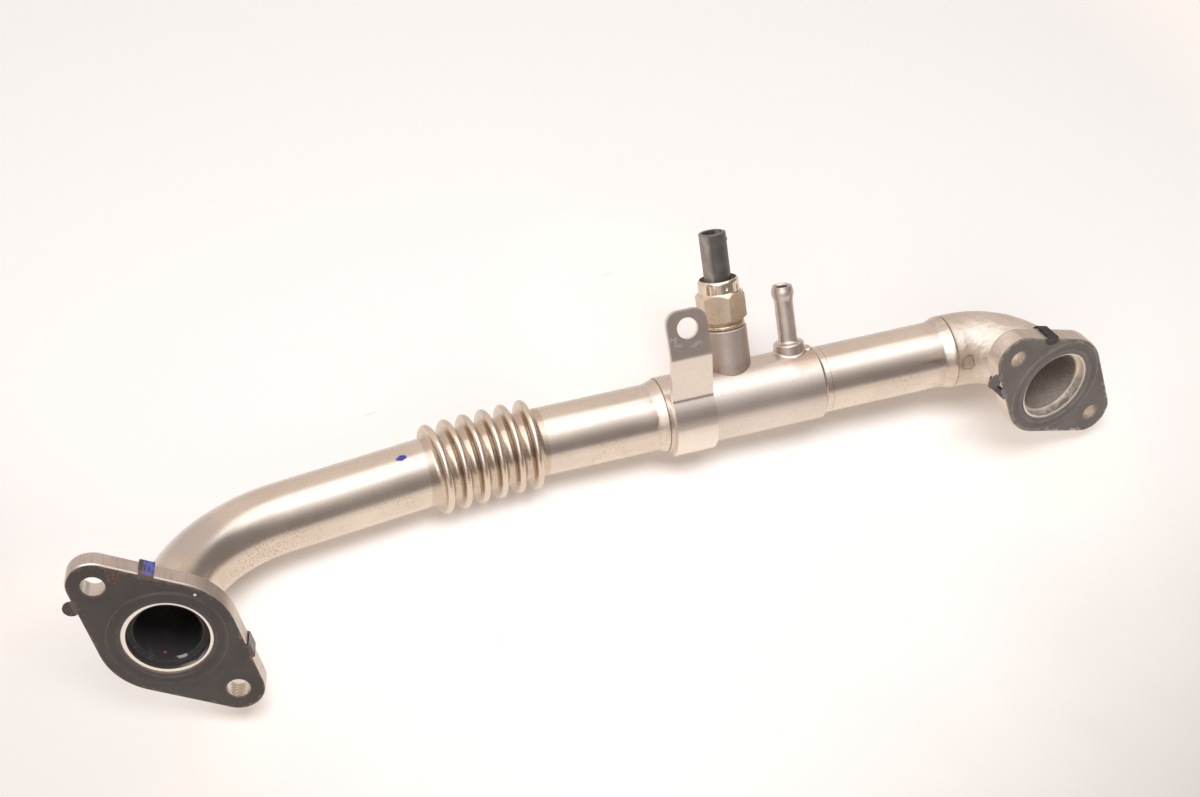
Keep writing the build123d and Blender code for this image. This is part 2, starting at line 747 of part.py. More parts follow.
# Sensor connector: a moulded shell with two flats, a socket for the plug and a latch lug
with BuildPart() as sensor_connector:
    with BuildSketch(fitting_plane(sensor_place, fitting_clock, flange_foot)):
        Circle(collar_diameter / 2 - collar_wall - moulding_clearance)
    extrude(amount=connector_flange)
    with BuildSketch(fitting_plane(sensor_place, fitting_clock, flange_foot)):
        Circle(connector_diameter / 2)
    extrude(amount=connector_top - flange_foot)
    shell_top = sensor_connector.faces().sort_by(Axis(sensor_connector.part.center(), fitting_out))[-1]
    fillet(shell_top.edges(), connector_rim_fillet)
    with BuildSketch(fitting_plane(sensor_place, fitting_clock, flange_foot + connector_flange)):
        Circle(connector_diameter)
        Rectangle(
            2 * connector_flat, 2 * connector_diameter, rotation=connector_turn, mode=Mode.SUBTRACT
        )
    extrude(amount=connector_top - flange_foot, mode=Mode.SUBTRACT)
    with BuildSketch(fitting_plane(sensor_place, fitting_clock, socket_floor)):
        Circle(connector_diameter / 2 - connector_shell)
    extrude(amount=connector_socket_depth, mode=Mode.SUBTRACT)
    lug_plane = fitting_plane(sensor_place, fitting_clock, connector_top - lug_from_top)
    lug_out = lug_plane.x_dir * cos(radians(lug_turn)) + lug_plane.y_dir * sin(radians(lug_turn))
    with BuildSketch(Plane(origin=lug_plane.origin, x_dir=lug_out, z_dir=fitting_out)):
        with Locations((connector_diameter / 2, 0)):
            Rectangle(2 * lug_reach, lug_width)
        Circle(connector_diameter / 2 - connector_shell / 2, mode=Mode.SUBTRACT)
    extrude(amount=-lug_height)
    with BuildSketch(fitting_plane(sensor_place, fitting_clock, flange_foot)):
        with Locations((-terminal_spacing / 2, 0), (terminal_spacing / 2, 0)):
            Rectangle(terminal_thickness + 2 * terminal_clearance, terminal_width + 2 * terminal_clearance)
    extrude(amount=connector_top - flange_foot, mode=Mode.SUBTRACT)
sensor_connector.part.label = "sensor_connector"
export_step(sensor_connector.part, "parts/sensor_connector.step")

# Terminals: two flat blades, each with a tapered tip
for name, side in (("terminal_left", -1), ("terminal_right", 1)):
    with BuildPart() as terminal:
        with BuildSketch(fitting_plane(sensor_place, fitting_clock, socket_floor - terminal_tail)):
            with Locations((side * terminal_spacing / 2, 0)):
                Rectangle(terminal_thickness, terminal_width)
        extrude(amount=terminal_tail + terminal_height)
        tip = terminal.faces().sort_by(Axis(terminal.part.center(), fitting_out))[-1]
        chamfer(tip.edges(), terminal_chamfer)
    terminal.part.label = name
    export_step(terminal.part, f"parts/{name}.step")

# Thermistor: a glass bead at the probe's tip with its two lead wires
with BuildPart() as thermistor:
    bead_foot = probe_tip + probe_wall + thermistor_gap
    with BuildSketch(fitting_plane(sensor_place, fitting_clock, bead_foot)):
        Circle(thermistor_diameter / 2)
    extrude(amount=thermistor_length)
    with BuildSketch(fitting_plane(sensor_place, fitting_clock, bead_foot)):
        with Locations((-terminal_spacing / 2, 0), (terminal_spacing / 2, 0)):
            Circle(lead_diameter / 2)
    extrude(amount=socket_floor - terminal_tail - bead_foot)
thermistor.part.label = "thermistor"
export_step(thermistor.part, "parts/thermistor.step")

# Nipple boss: a turned ring that carries the hose nipple, its foot cut to sit on the housing
nipple_boss_top = housing_radius + nipple_boss_height
nipple_foot = nipple_boss_top - nipple_seat
with BuildPart() as nipple_boss:
    with BuildSketch(fitting_plane(nipple_place, fitting_clock, 0)):
        Circle(nipple_boss_diameter / 2)
        Circle(nipple_bore / 2, mode=Mode.SUBTRACT)
    extrude(amount=nipple_boss_top)
    ring_top = nipple_boss.faces().sort_by(Axis(nipple_boss.part.center(), fitting_out))[-1]
    fillet(ring_top.outer_wire().edges(), nipple_boss_round)
    with BuildSketch(run_plane(0)):
        Circle(housing_radius + saddle_clearance)
    extrude(amount=housing_length, mode=Mode.SUBTRACT)
    with BuildSketch(fitting_plane(nipple_place, fitting_clock, nipple_foot)):
        Circle(nipple_diameter / 2 + socket_clearance)
    extrude(amount=nipple_seat, mode=Mode.SUBTRACT)
nipple_boss.part.label = "nipple_boss"
export_step(nipple_boss.part, "parts/nipple_boss.step")

# Nipple braze: the ring of braze in the corner between the nipple and its boss
nipple_braze = braze_fillet(
    fitting_plane(nipple_place, fitting_clock, nipple_boss_top).origin,
    fitting_out,
    nipple_diameter / 2,
    nipple_braze_leg,
)
nipple_braze.label = "nipple_braze"
export_step(nipple_braze, "parts/nipple_braze.step")

# Hose nipple: a short tube with a rolled bead that keeps the hose on
with BuildPart() as hose_nipple:
    tip = nipple_seat + nipple_length
    stem = nipple_diameter / 2
    bore = nipple_bore / 2
    swell = nipple_bead_diameter / 2
    rim = nipple_rim_diameter / 2
    with BuildSketch(section_plane(nipple_place, fitting_clock, nipple_foot)):
        with BuildLine():
            FilletPolyline(
                (stem, 0),
                (stem, tip - nipple_bead_run),
                (swell, tip - nipple_bead_foot),
                (swell, tip - nipple_bead_top),
                (rim, tip),
                radius=nipple_bead_round,
            )
            Polyline(
                (rim, tip),
                (bore + nipple_flare, tip),
                (bore, tip - nipple_flare),
                (bore, 0),
                (stem, 0),
            )
        make_face()
    revolve(axis=fitting_axis(nipple_place))
hose_nipple.part.label = "hose_nipple"
export_step(hose_nipple.part, "parts/hose_nipple.step")

# Bracket: a strap folded round the front of the housing, with a bolt tab standing up from it
strap_radius = housing_radius + bracket_gap + bracket_sheet / 2
strap_plane = run_plane(bracket_place)
with BuildPart() as bracket:
    with BuildLine(strap_plane):
        start_angle = radians(bracket_wrap_start)
        strap_start = (strap_radius * cos(start_angle), strap_radius * sin(start_angle))
        strap_tangent = (sin(start_angle), -cos(start_angle))
        wrap = JernArc(
            start=strap_start,
            tangent=strap_tangent,
            radius=strap_radius,
            arc_size=bracket_wrap_end - bracket_wrap_start,
        )
        out_bend = JernArc(
            start=wrap @ 1, tangent=wrap % 1, radius=bracket_bend_radius, arc_size=bracket_out_bend
        )
        shelf = PolarLine(start=out_bend @ 1, length=bracket_shelf, direction=out_bend % 1)
        back_bend = JernArc(
            start=shelf @ 1, tangent=shelf % 1, radius=bracket_bend_radius, arc_size=bracket_back_bend
        )
        tab = PolarLine(start=back_bend @ 1, length=bracket_tab, direction=back_bend % 1)
    with BuildSketch(Plane(origin=wrap @ 0, x_dir=long_run, z_dir=wrap % 0)):
        Rectangle(bracket_width, bracket_sheet)
    sweep()
    tab_end = bracket.faces().sort_by(Axis(tab @ 0, tab % 1))[-1]
    fillet(tab_end.edges().filter_by(lambda edge: edge.length < bracket_sheet * 1.1), bracket_corner)
    strap_foot = bracket.faces().sort_by_distance(wrap @ 0)[0]
    fillet(strap_foot.edges().filter_by(lambda edge: edge.length < bracket_sheet * 1.1), bracket_foot_corner)
    hole_centre = (tab @ 0) + (tab % 0) * bracket_hole_from_bend
    with BuildSketch(Plane(origin=hole_centre, x_dir=long_run, z_dir=long_run.cross(tab % 0))):
        Circle(bracket_hole / 2)
    extrude(amount=bracket_sheet, both=True, mode=Mode.SUBTRACT)
bracket.part.label = "bracket"
export_step(bracket.part, "parts/bracket.step")
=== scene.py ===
# %% [markdown]
# # Dressing an exhaust gas pipe
# The shapes of this pipe come from a solid model that is already packed: a bent steel tube with a
# bellows, a turned housing with a sensor and a hose nipple, a cast elbow and two gasketed flanges.
# This lesson lights the bench and gives every piece its surface.

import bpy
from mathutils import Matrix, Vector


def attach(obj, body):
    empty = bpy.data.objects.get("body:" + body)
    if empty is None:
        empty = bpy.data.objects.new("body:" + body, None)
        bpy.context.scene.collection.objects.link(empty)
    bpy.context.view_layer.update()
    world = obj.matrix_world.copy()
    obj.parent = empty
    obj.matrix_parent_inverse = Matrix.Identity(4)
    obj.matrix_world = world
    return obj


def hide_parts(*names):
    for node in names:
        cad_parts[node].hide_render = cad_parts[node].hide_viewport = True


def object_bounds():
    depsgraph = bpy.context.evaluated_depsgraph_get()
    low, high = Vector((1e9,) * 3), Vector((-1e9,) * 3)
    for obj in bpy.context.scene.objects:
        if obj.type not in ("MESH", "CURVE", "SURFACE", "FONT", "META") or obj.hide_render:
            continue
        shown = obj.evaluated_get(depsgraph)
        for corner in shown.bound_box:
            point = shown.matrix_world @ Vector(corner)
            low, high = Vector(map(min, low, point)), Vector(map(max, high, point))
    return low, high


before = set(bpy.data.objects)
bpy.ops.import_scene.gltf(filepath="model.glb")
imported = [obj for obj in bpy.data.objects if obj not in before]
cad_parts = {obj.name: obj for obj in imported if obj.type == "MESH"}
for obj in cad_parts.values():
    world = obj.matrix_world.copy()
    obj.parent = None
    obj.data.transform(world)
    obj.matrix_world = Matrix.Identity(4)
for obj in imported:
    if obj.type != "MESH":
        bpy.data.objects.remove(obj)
cad_low, cad_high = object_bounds()
print("solid model", [round(c, 4) for c in cad_low], [round(c, 4) for c in cad_high])

from math import acos, cos, pi, sin, sqrt

import bpy
import bmesh
from mathutils import Matrix, Vector, noise

MM = 0.001
scene = bpy.context.scene
scene.view_settings.view_transform = "Standard"

# %% [markdown]
# The camera stands where the photographer stood. Its place was worked out from the bolt holes and
# outlines in the picture, measured from the middle of the inlet flange, and the long lens keeps
# the far flange nearly as large as the near one. Three unit vectors give its turn.

# %% The camera
right = Vector((0.946142, -0.297411, 0.127911))
upward = Vector((0.186723, 0.824049, 0.534862))
backward = right.cross(upward)
lens = bpy.data.cameras.new("bench_camera")
lens.lens = 69.0
lens.sensor_width = 36.0
lens.clip_start = 0.05
lens.clip_end = 20.0
camera = bpy.data.objects.new("bench_camera", lens)
scene.collection.objects.link(camera)
turn = Matrix((right, upward, backward)).transposed().to_4x4()
camera.matrix_world = Matrix.Translation(Vector((-51.3, -346.5, 700.7)) * MM) @ turn
scene.camera = camera
print("camera height", round(camera.location.z, 3))

# %% [markdown]
# Every finish below is a sum of masks: how far a point lies from an axis, a spot or an edge. Sums
# are easiest to read as sums, so one small class wraps a socket and lets Python's own operators
# add the Math nodes. A second class builds the nodes themselves.

# %% A class for shader sums
class Signal:
    """A socket that can be used in ordinary sums: each operator adds one Math node."""

    def __init__(self, finish, socket):
        self.finish = finish
        self.socket = socket

    def sum(self, operation, *others):
        return self.finish.node("ShaderNodeMath", {"operation": operation}, [self, *others])

    def __add__(self, other):
        return self.sum("ADD", other)

    def __sub__(self, other):
        return self.sum("SUBTRACT", other)

    def __mul__(self, other):
        return self.sum("MULTIPLY", other)

    def __rsub__(self, other):
        return self.finish.node("ShaderNodeMath", {"operation": "SUBTRACT"}, [other, self])

    def __gt__(self, other):
        return self.sum("GREATER_THAN", other)

    def __lt__(self, other):
        return self.sum("LESS_THAN", other)

    def size(self):
        return self.sum("ABSOLUTE")

    def root(self):
        return self.sum("SQRT")

    def larger(self, other):
        return self.sum("MAXIMUM", other)

    def spread(self, start, end):
        """Rises smoothly from 0 at start to 1 at end, and either may be the larger number."""
        smooth = {"interpolation_type": "SMOOTHSTEP"}
        return self.finish.node("ShaderNodeMapRange", smooth, [self, start, end])

    __radd__ = __add__
    __rmul__ = __mul__


# %% [markdown]
# All places in this file are in millimetres from the middle of the inlet flange, the same frame
# as the solid model. The pieces lie at the origin with their place in their mesh, so the Object
# coordinates, times a thousand, are those millimetres.

# %% A class for finishes
class Finish:
    """A node tree that is built by one method, with small helpers made from it."""

    def __init__(self, tree):
        self.tree = tree
        tree.nodes.clear()

    def node(self, kind, settings=None, inputs=None, output=0):
        made = self.tree.nodes.new(kind)
        for name, value in (settings or {}).items():
            setattr(made, name, value)
        pairs = inputs.items() if isinstance(inputs, dict) else enumerate(inputs or [])
        for name, value in pairs:
            if isinstance(value, Signal):
                self.tree.links.new(value.socket, made.inputs[name])
            elif value is not None:
                made.inputs[name].default_value = value
        return Signal(self, made.outputs[output]) if made.outputs else None

    def mix(self, factor, first, second):
        first = (*first, 1.0) if isinstance(first, tuple) else first
        second = (*second, 1.0) if isinstance(second, tuple) else second
        inputs = {0: factor, 6: first, 7: second}
        return self.node("ShaderNodeMix", {"data_type": "RGBA"}, inputs, output=2)

    def paint(self, mask, tint):
        """Lays a tint over the finish's colour where the mask is 1."""
        self.colour = self.mix(mask, self.colour, tint)

    def vector(self, operation, first, second=None, output=0):
        return self.node("ShaderNodeVectorMath", {"operation": operation}, [first, second], output)

    def offset(self, point):
        return self.vector("SUBTRACT", self.place, tuple(point))

    def along(self, point, direction):
        """How far a point lies from a plane, in millimetres along its direction."""
        return self.vector("DOT_PRODUCT", self.offset(point), tuple(direction), output=1)

    def from_point(self, point):
        return self.vector("DISTANCE", self.place, tuple(point), output=1)

    def from_axis(self, point, direction):
        across = self.vector("CROSS_PRODUCT", self.offset(point), tuple(direction))
        return self.vector("LENGTH", across, output=1)

    def facing(self, direction):
        """1 where the surface faces a direction, -1 where it faces away."""
        normal = self.node("ShaderNodeNewGeometry", output=1)
        return self.vector("DOT_PRODUCT", normal, tuple(direction), output=1)

    def spot(self, point, rim, core):
        """1 within the core's distance of a point, and 0 beyond the rim."""
        return self.from_point(point).spread(rim, core)

    def cloud(self, scale, detail=3.0, place=None):
        inputs = {"Vector": place or self.place, "Scale": scale, "Detail": detail}
        return self.node("ShaderNodeTexNoise", {}, inputs)

    def blots(self, scale, detail, start, end):
        """Patches cut out of a cloud: 0 where it is thin and 1 where it is dense."""
        return self.cloud(scale, detail).spread(start, end)

    def drawn(self, direction, keep):
        """Places with one direction squeezed, so that noise on them runs in streaks along it."""
        along = self.vector("DOT_PRODUCT", self.place, tuple(direction), output=1)
        amount = {0: tuple(direction), "Scale": along * (1 - keep)}
        taken = self.node("ShaderNodeVectorMath", {"operation": "SCALE"}, amount)
        return self.vector("SUBTRACT", self.place, taken)

    def feed(self, name, value):
        if isinstance(value, Signal):
            self.tree.links.new(value.socket, self.shader.inputs[name])
        else:
            self.shader.inputs[name].default_value = value

    def complete(self, roughness, skin, strength, depth, bare=None):
        """Feeds the shader. The skin tilts the surface, with its depth in millimetres, and bare
        is 1 on clean metal and 0 where soot or paint covers it."""
        self.feed("Base Color", self.colour)
        self.feed("Roughness", roughness)
        if bare is not None:
            self.feed("Metallic", bare)
        bump = {"Strength": strength, "Distance": depth * MM, "Height": skin}
        self.feed("Normal", self.node("ShaderNodeBump", {}, bump))
        return self.material


def surface(name, metallic=1.0):
    """A new material with one main shader and its places in millimetres."""
    material = bpy.data.materials.new(name)
    material.use_nodes = True
    finish = Finish(material.node_tree)
    finish.material = material
    shader = finish.node("ShaderNodeBsdfPrincipled")
    finish.shader = shader.socket.node
    finish.node("ShaderNodeOutputMaterial", {}, [shader])
    finish.feed("Metallic", metallic)
    raw = finish.node("ShaderNodeTexCoord", output=3)
    finish.place = finish.vector("MULTIPLY", raw, (1000.0, 1000.0, 1000.0))
    return finish


print("helpers ready")

# %% [markdown]
# Satin metal shows its surroundings, so the light is drawn as bands round the pipe's length. The
# angle runs from the front horizon (0) over the zenith (90) to the back (180). The room in front
# is dark and brightens towards a softbox overhead, whose near edge is the brightest part. The box
# hangs lower on the left, it ends on the right, and a warm wall stands behind it. The camera itself
# sees a plain pale backdrop, and the bands are hidden from matt surfaces.

# %% The light round the bench
world = bpy.data.worlds.new("studio")
world.use_nodes = True
scene.world = world
sky = Finish(world.node_tree)
way = sky.node("ShaderNodeTexCoord", output=0)
front_part = sky.vector("DOT_PRODUCT", way, (0.0, -1.0, 0.0), output=1)
height = sky.vector("DOT_PRODUCT", way, (0.0, 0.0, 1.0), output=1)
side = sky.vector("DOT_PRODUCT", way, (1.0, 0.0, 0.0), output=1)
angle = sky.node("ShaderNodeMath", {"operation": "ARCTAN2"}, [height, front_part]) * (180 / pi)
tilted = angle + side.spread(0.20, -0.25) * 31.0 - side.spread(0.24, 0.42) * 13.0
climb = sky.node("ShaderNodeMapRange", {}, [tilted, 20.0, 85.0]).sum("POWER", 2.6)
under_box = angle.spread(135.0, 121.0) * side.spread(0.68, 0.48) * side.spread(-0.85, -0.55)
near_edge = tilted.spread(77.0, 87.0) * angle.spread(114.0, 100.0)
wall = angle.spread(115.0, 131.0) * side.spread(0.8, 0.5)
front = angle.spread(15.0, 0.0)
left = side.spread(-0.2, -0.6)
ROOM, BOX, BOX_EDGE, WALL = 0.28, 1.4, 0.42, 0.56
box = (climb * BOX + near_edge * BOX_EDGE) * under_box
glow = box + wall * WALL + front * 0.8 + left * 0.12 + ROOM
room_tint = sky.mix(wall, (1.0, 0.905, 0.86), (1.0, 0.88, 0.79))
warm_room = sky.mix(box.spread(0.1, 0.9), room_tint, (0.985, 0.985, 0.985))
seen = sky.node("ShaderNodeLightPath", output=0)
tint = sky.mix(seen, warm_room, (0.99, 0.975, 0.965))
strength = sky.node("ShaderNodeMix", {"data_type": "FLOAT"}, {0: seen, 2: glow, 3: 1.0})
backdrop = sky.node("ShaderNodeBackground", {}, [tint, strength])
sky.node("ShaderNodeOutputWorld", {}, [backdrop])
world.cycles_visibility.diffuse = False
print("bands of light: room", ROOM, "softbox", ROOM + BOX + BOX_EDGE, "back wall", ROOM + WALL)

# %% [markdown]
# These bands are what metal mirrors. Matt things, the bench, the coats and the plastic, are lit by
# two large lamps instead: one over the bench, which draws the narrow warm shadow under the pipe,
# and a weaker one in front. Metal doesn't see the lamps, so nothing is counted twice.

# %% The two lamps
PIPE_MIDDLE = Vector((0.18, 0.07, 0.0))


def lamp(name, place, width, depth, power, colour):
    """A rectangular lamp in metres and watts, turned towards the middle of the pipe."""
    light = bpy.data.lights.new(name, "AREA")
    light.shape = "RECTANGLE"
    light.size, light.size_y = width, depth
    light.energy = power
    light.color = colour
    holder = bpy.data.objects.new(name, light)
    scene.collection.objects.link(holder)
    holder.location = place
    holder.rotation_euler = (PIPE_MIDDLE - Vector(place)).to_track_quat("-Z", "Y").to_euler()
    holder.visible_glossy = False
    print("lamp", name, power, "W")


lamp("over_bench", (0.14, -0.06, 1.2), 0.8, 0.55, 15.6, (0.985, 0.985, 0.985))
lamp("in_front", (-0.15, -1.15, 0.95), 1.6, 1.0, 7.6, (1.0, 0.91, 0.83))

# %% [markdown]
# The bench is a plain white board with a little grey pink at the corners nearest the camera, where
# less light falls. The metal sees it warmer than the lens does, and darker behind the pipe, as it
# would under a yellowish lamp in front, so its colour asks which kind of ray is looking. A twelfth
# of what the lens sees glows by itself, which keeps the deepest shadows brown, as in the picture.
# Far from the pipe, where the lamps don't reach, the board shows the lens its own plain colour.
# It nearly does beside the flanges and behind the sensor, where the picture has hardly a shadow.

# %% The bench
floor_height = cad_low.z
HALF = 3.0
corners = [(x * HALF, y * HALF, floor_height) for x, y in ((-1, -1), (1, -1), (1, 1), (-1, 1))]
mesh = bpy.data.meshes.new("bench")
mesh.from_pydata(corners, [], [(0, 1, 2, 3)])
bench = bpy.data.objects.new("bench", mesh)
scene.collection.objects.link(bench)
board = surface("bench_board", 0.0)
FLOOR = -37.0
PICTURE_MIDDLE = (182.4, 79.5, FLOOR)
down = board.along(PICTURE_MIDDLE, (-0.221, -0.975, 0.0))
beside = board.along(PICTURE_MIDDLE, (0.954, -0.30, 0.0)).size()
mottle = board.cloud(0.02, 3.0)
shade = (down * 0.7 + beside * 0.6 + mottle * 30.0).spread(135.0, 300.0)
board.colour = board.mix(shade, (0.97, 0.94, 0.925), (0.625, 0.585, 0.56))


def scuff(place, way, length, width, strength):
    """A short soft scratch on the board, bent a little by a cloud."""
    sideways = Vector(way).cross(Vector((0.0, 0.0, 1.0)))
    beside = board.along(place, sideways) + board.cloud(0.12, 2.0) * 4.0 - 2.0
    end = board.along(place, way).size()
    mask = beside.size().spread(width, width * 0.3) * end.spread(length, length * 0.4)
    board.paint(mask * strength, (0.60, 0.53, 0.45))


scuff((203.2, 134.9, FLOOR), (0.95, 0.3, 0.0), 3.5, 0.7, 0.5)
scuff((95.0, 92.0, FLOOR), (0.9, 0.1, 0.0), 3.5, 0.6, 0.3)
scuff((117.0, -10.0, FLOOR), (0.3, 0.95, 0.0), 7.0, 0.7, 0.12)
pale = board.colour
print("board with three scuffs")

# %% What each kind of ray sees of it
lens_looks = board.node("ShaderNodeLightPath", output=0)
metal_looks = board.node("ShaderNodeLightPath", output=3)
far_off = board.from_point(PICTURE_MIDDLE).spread(292.0, 450.0)
by_inlet = board.spot((-32.0, -8.0, FLOOR), 78.0, 26.0) * 0.8
by_outlet = board.spot((352.0, 18.0, FLOOR), 44.0, 12.0) * 0.5
by_flanges = by_inlet + by_outlet
behind_sensor = board.spot((204.0, 115.0, FLOOR), 64.0, 26.0) * 0.5
lifted = far_off + by_flanges + behind_sensor
own_light = lens_looks * (0.08 + lifted * 0.92) + metal_looks * 0.6
behind = board.along((180.0, 80.0, FLOOR), (0.0, 1.0, 0.0)).spread(-10.0, 60.0)
to_metal = board.mix(behind, (1.04, 0.93, 0.80), (0.60, 0.53, 0.47))
board.colour = board.mix(shade, (1.35, 1.12, 0.98), (1.10, 0.95, 0.86))
board.paint(far_off, (0.95, 0.93, 0.91))
board.paint(by_flanges, (0.88, 0.845, 0.81))
board.paint(behind_sensor, (1.0, 0.975, 0.95))
BLACK = (0.0, 0.0, 0.0)
glowing = board.mix(metal_looks, board.colour, to_metal)
board.feed("Base Color", board.mix(own_light, pale, BLACK))
board.feed("Emission Color", board.mix(own_light, BLACK, glowing))
board.feed("Emission Strength", 1.0)
board.material.cycles.emission_sampling = "NONE"
board.feed("Roughness", 0.75)
board.feed("Specular IOR Level", 0.15)
mesh.materials.append(board.material)
print("bench at", round(floor_height, 4))

# %% [markdown]
# The route of the pipe, in the same numbers as the solid model, with the radii of its outsides
# and bends. The finishes need them: soot lies on the inside of the tube, so a mask must know where
# the tube's axis runs, also round a bend. A bore is given as two distances from the axis, between
# which its mask turns on inside the wall.

# %% The pipe's route in millimetres
inlet_centre = Vector((0.0, 0.0, 0.0))
inlet_out = Vector((-0.23842, -0.8898, 0.38912))
inlet_along = Vector((0.650433, -0.443843, -0.616393))
inlet_across = Vector((0.721175, 0.106138, 0.684574))
inlet_corner = Vector((11.097, 41.416, -18.112))
inlet_run = Vector((0.99153, 0.1279, -0.02269))
long_run = Vector((0.99912, 0.0, 0.04188))
housing_start = Vector((195.879, 56.327, -17.857))
housing_end = Vector((257.625, 56.327, -15.269))
elbow_start = Vector((311.877, 56.327, -12.996))
elbow_corner = Vector((336.78, 56.327, -11.952))
outlet_centre = Vector((342.556, 26.194, -1.775))
outlet_out = Vector((0.17867, -0.93218, 0.31482))
outlet_along = Vector((0.697585, -0.105633, -0.708672))
outlet_across = Vector((0.693868, 0.346231, 0.631404))
fitting_out = Vector((-0.030825, 0.676876, 0.735451))
sensor_base = Vector((225.153, 56.327, -16.63))
nipple_base = Vector((249.632, 56.327, -15.604))
bracket_hole = Vector((204.049, 67.794, 21.242))
TUBE, HOUSING = 12.7, 14.2
TUBE_BORE, HOUSING_BORE = (12.3, 12.0), (12.9, 12.5)
INLET_BEND, ELBOW_BEND = 57.0, 24.8
print("flange centres apart", round((outlet_centre - inlet_centre).length, 1), "mm")


def bend_ring(finish, corner, before, after, radius):
    """How far a point lies from the centre line of a bend."""
    half_turn = acos(before.dot(after)) / 2
    centre = corner + (after - before).normalized() * (radius / cos(half_turn))
    axis = before.cross(after).normalized()
    height = finish.along(centre, axis)
    reach = finish.from_axis(centre, axis) - radius
    return (reach * reach + height * height).root()


# %% [markdown]
# The tube is drawn stainless steel, which heat has turned faintly straw coloured. One function
# makes the clean steel: broad clouds of tone, a fine grain, and streaks along the drawing
# direction. Each tube then adds its own marks on top.

# %% Drawn steel
SOOT = (0.028, 0.025, 0.026)


def drawn_steel(name, streak_way):
    """Satin steel; returns the finish, its roughness and its skin, for marks to follow."""
    finish = surface(name)
    tone = finish.blots(0.045, 4.0, 0.34, 0.66)
    grain = finish.cloud(2.0, 3.0)
    streak = finish.cloud(0.9, 2.0, finish.drawn(streak_way, 0.05))
    finish.colour = finish.mix(tone, (0.70, 0.61, 0.54), (0.76, 0.67, 0.59))
    finish.paint(grain.spread(0.58, 0.76) * 0.12, (0.50, 0.40, 0.32))
    finish.paint(streak.spread(0.58, 0.74) * 0.2, (0.55, 0.46, 0.38))
    roughness = 0.19 + tone * 0.04 + grain.spread(0.35, 0.75) * 0.03 + streak * 0.05
    skin = grain * 0.15 + streak * 0.5
    return finish, roughness, skin


# %% [markdown]
# The inlet tube is brown and speckled in the lower bend, where the flange ran hot. It carries a
# dab of blue paint beside the bellows, and dust with painted shade darkens the roots between the
# waves. The inside is black with soot, which a mask finds by its distance from the axis, with a
# bright scratch and a red mark.

# %% The inlet tube
steel, roughness, skin = drawn_steel("inlet_tube_steel", inlet_run)
depth = steel.along(inlet_centre, -inlet_out)
heat = depth.spread(46.0, 8.0)
patches = steel.blots(0.11, 5.0, 0.44, 0.62)
flecks = steel.blots(1.5, 4.0, 0.50, 0.62)
steel.paint(heat * (0.25 + patches * 0.5), (0.56, 0.455, 0.36))
# a greyer patch on the bend: partly a bluish heat tint, partly a painted dark reflection where the
# highlight ends
blue = steel.spot((13.0, 38.0, -6.0), 19.0, 8.0)
steel.paint(blue * 0.45, (0.50, 0.48, 0.49))
lower = steel.spot((34.0, 30.0, -20.0), 34.0, 8.0)
under = steel.facing((0.0, -0.9, -0.42)).spread(0.1, 0.7)
steel.paint(lower * under * flecks * 0.7, (0.42, 0.28, 0.16))
steel.paint(under * flecks * patches * 0.45, (0.50, 0.375, 0.26))
print("brown and speckled lower bend")

# %% Dust and paint on the inlet tube
bellows_middle = (126.7, 55.2, -20.2)
wave_height = steel.from_axis(bellows_middle, (0.9984, 0.0564, 0.0))
in_bellows = steel.along(bellows_middle, (1.0, 0.0, 0.0)).size().spread(23.4, 22.2)
# dust and painted shade: the roots between the waves are darkened
root_dust_and_shade = in_bellows * wave_height.spread(16.5, 13.9)
steel.paint(root_dust_and_shade * (0.5 + flecks * 0.3), (0.42, 0.315, 0.23))
steel.paint(in_bellows * 0.35, (0.72, 0.61, 0.50))
near_housing = steel.along(housing_start, long_run).spread(-11.0, -3.0) * patches
steel.paint(near_housing * 0.4, (0.55, 0.45, 0.38))
wobble = steel.cloud(0.5, 2.0) * 2.2
dab_place = (95.3, 54.1, -7.6)
dab_long = steel.along(dab_place, (0.97, 0.2, -0.1)) * 0.62
dab_wide = steel.along(dab_place, (-0.2, 0.97, 0.0)) * 1.15
dab = ((dab_long * dab_long + dab_wide * dab_wide).root() + wobble).spread(2.5, 2.1)
dab = dab * steel.spot(dab_place, 5.0, 4.5)
steel.paint(dab, (0.035, 0.045, 0.36))
print("paint dab beside the bellows, about 4 mm long")

# %% Soot inside the inlet tube
to_axis = steel.from_axis(inlet_centre, inlet_out)
stub = to_axis.spread(*TUBE_BORE) * (depth < 8.0)
stub = stub.larger((to_axis < 13.5) * (depth < 6.3))
half_turn = acos((-inlet_out).dot(inlet_run)) / 2
reach = INLET_BEND * sin(half_turn) / cos(half_turn)
past_start = steel.along(inlet_corner + inlet_out * reach, -inlet_out) > 0.0
in_bend = past_start * (steel.along(inlet_corner + inlet_run * reach, inlet_run) < 0.0)
from_bend = bend_ring(steel, inlet_corner, -inlet_out, inlet_run, INLET_BEND)
bend = from_bend.spread(*TUBE_BORE) * in_bend
soot = stub.larger(bend)
red_mark = (steel.from_point((-0.8, 1.3, -12.8)) + steel.cloud(0.8, 2.0)).spread(1.25, 0.9)
ash = steel.blots(0.28, 4.0, 0.54, 0.72) * 0.5
soot_tone = steel.mix(ash, SOOT, (0.07, 0.063, 0.06))
soot_tone = steel.mix(red_mark, soot_tone, (0.42, 0.08, 0.03))
scratch_place = (4.3, -2.0, -11.0)
scratch = steel.along(scratch_place, (0.25, 0.9, -0.35)).size().spread(0.2, 0.05)
scratch = scratch * steel.spot(scratch_place, 2.3, 1.2)
soot_tone = steel.mix(scratch * 0.8, soot_tone, (0.55, 0.52, 0.50))
steel.paint(soot, soot_tone)
roughness = roughness + soot * 0.35 + dab * 0.15
bare = (1.0 - soot) * (1.0 - dab)
inlet_steel = steel.complete(roughness, skin, 0.35, 0.05, bare)
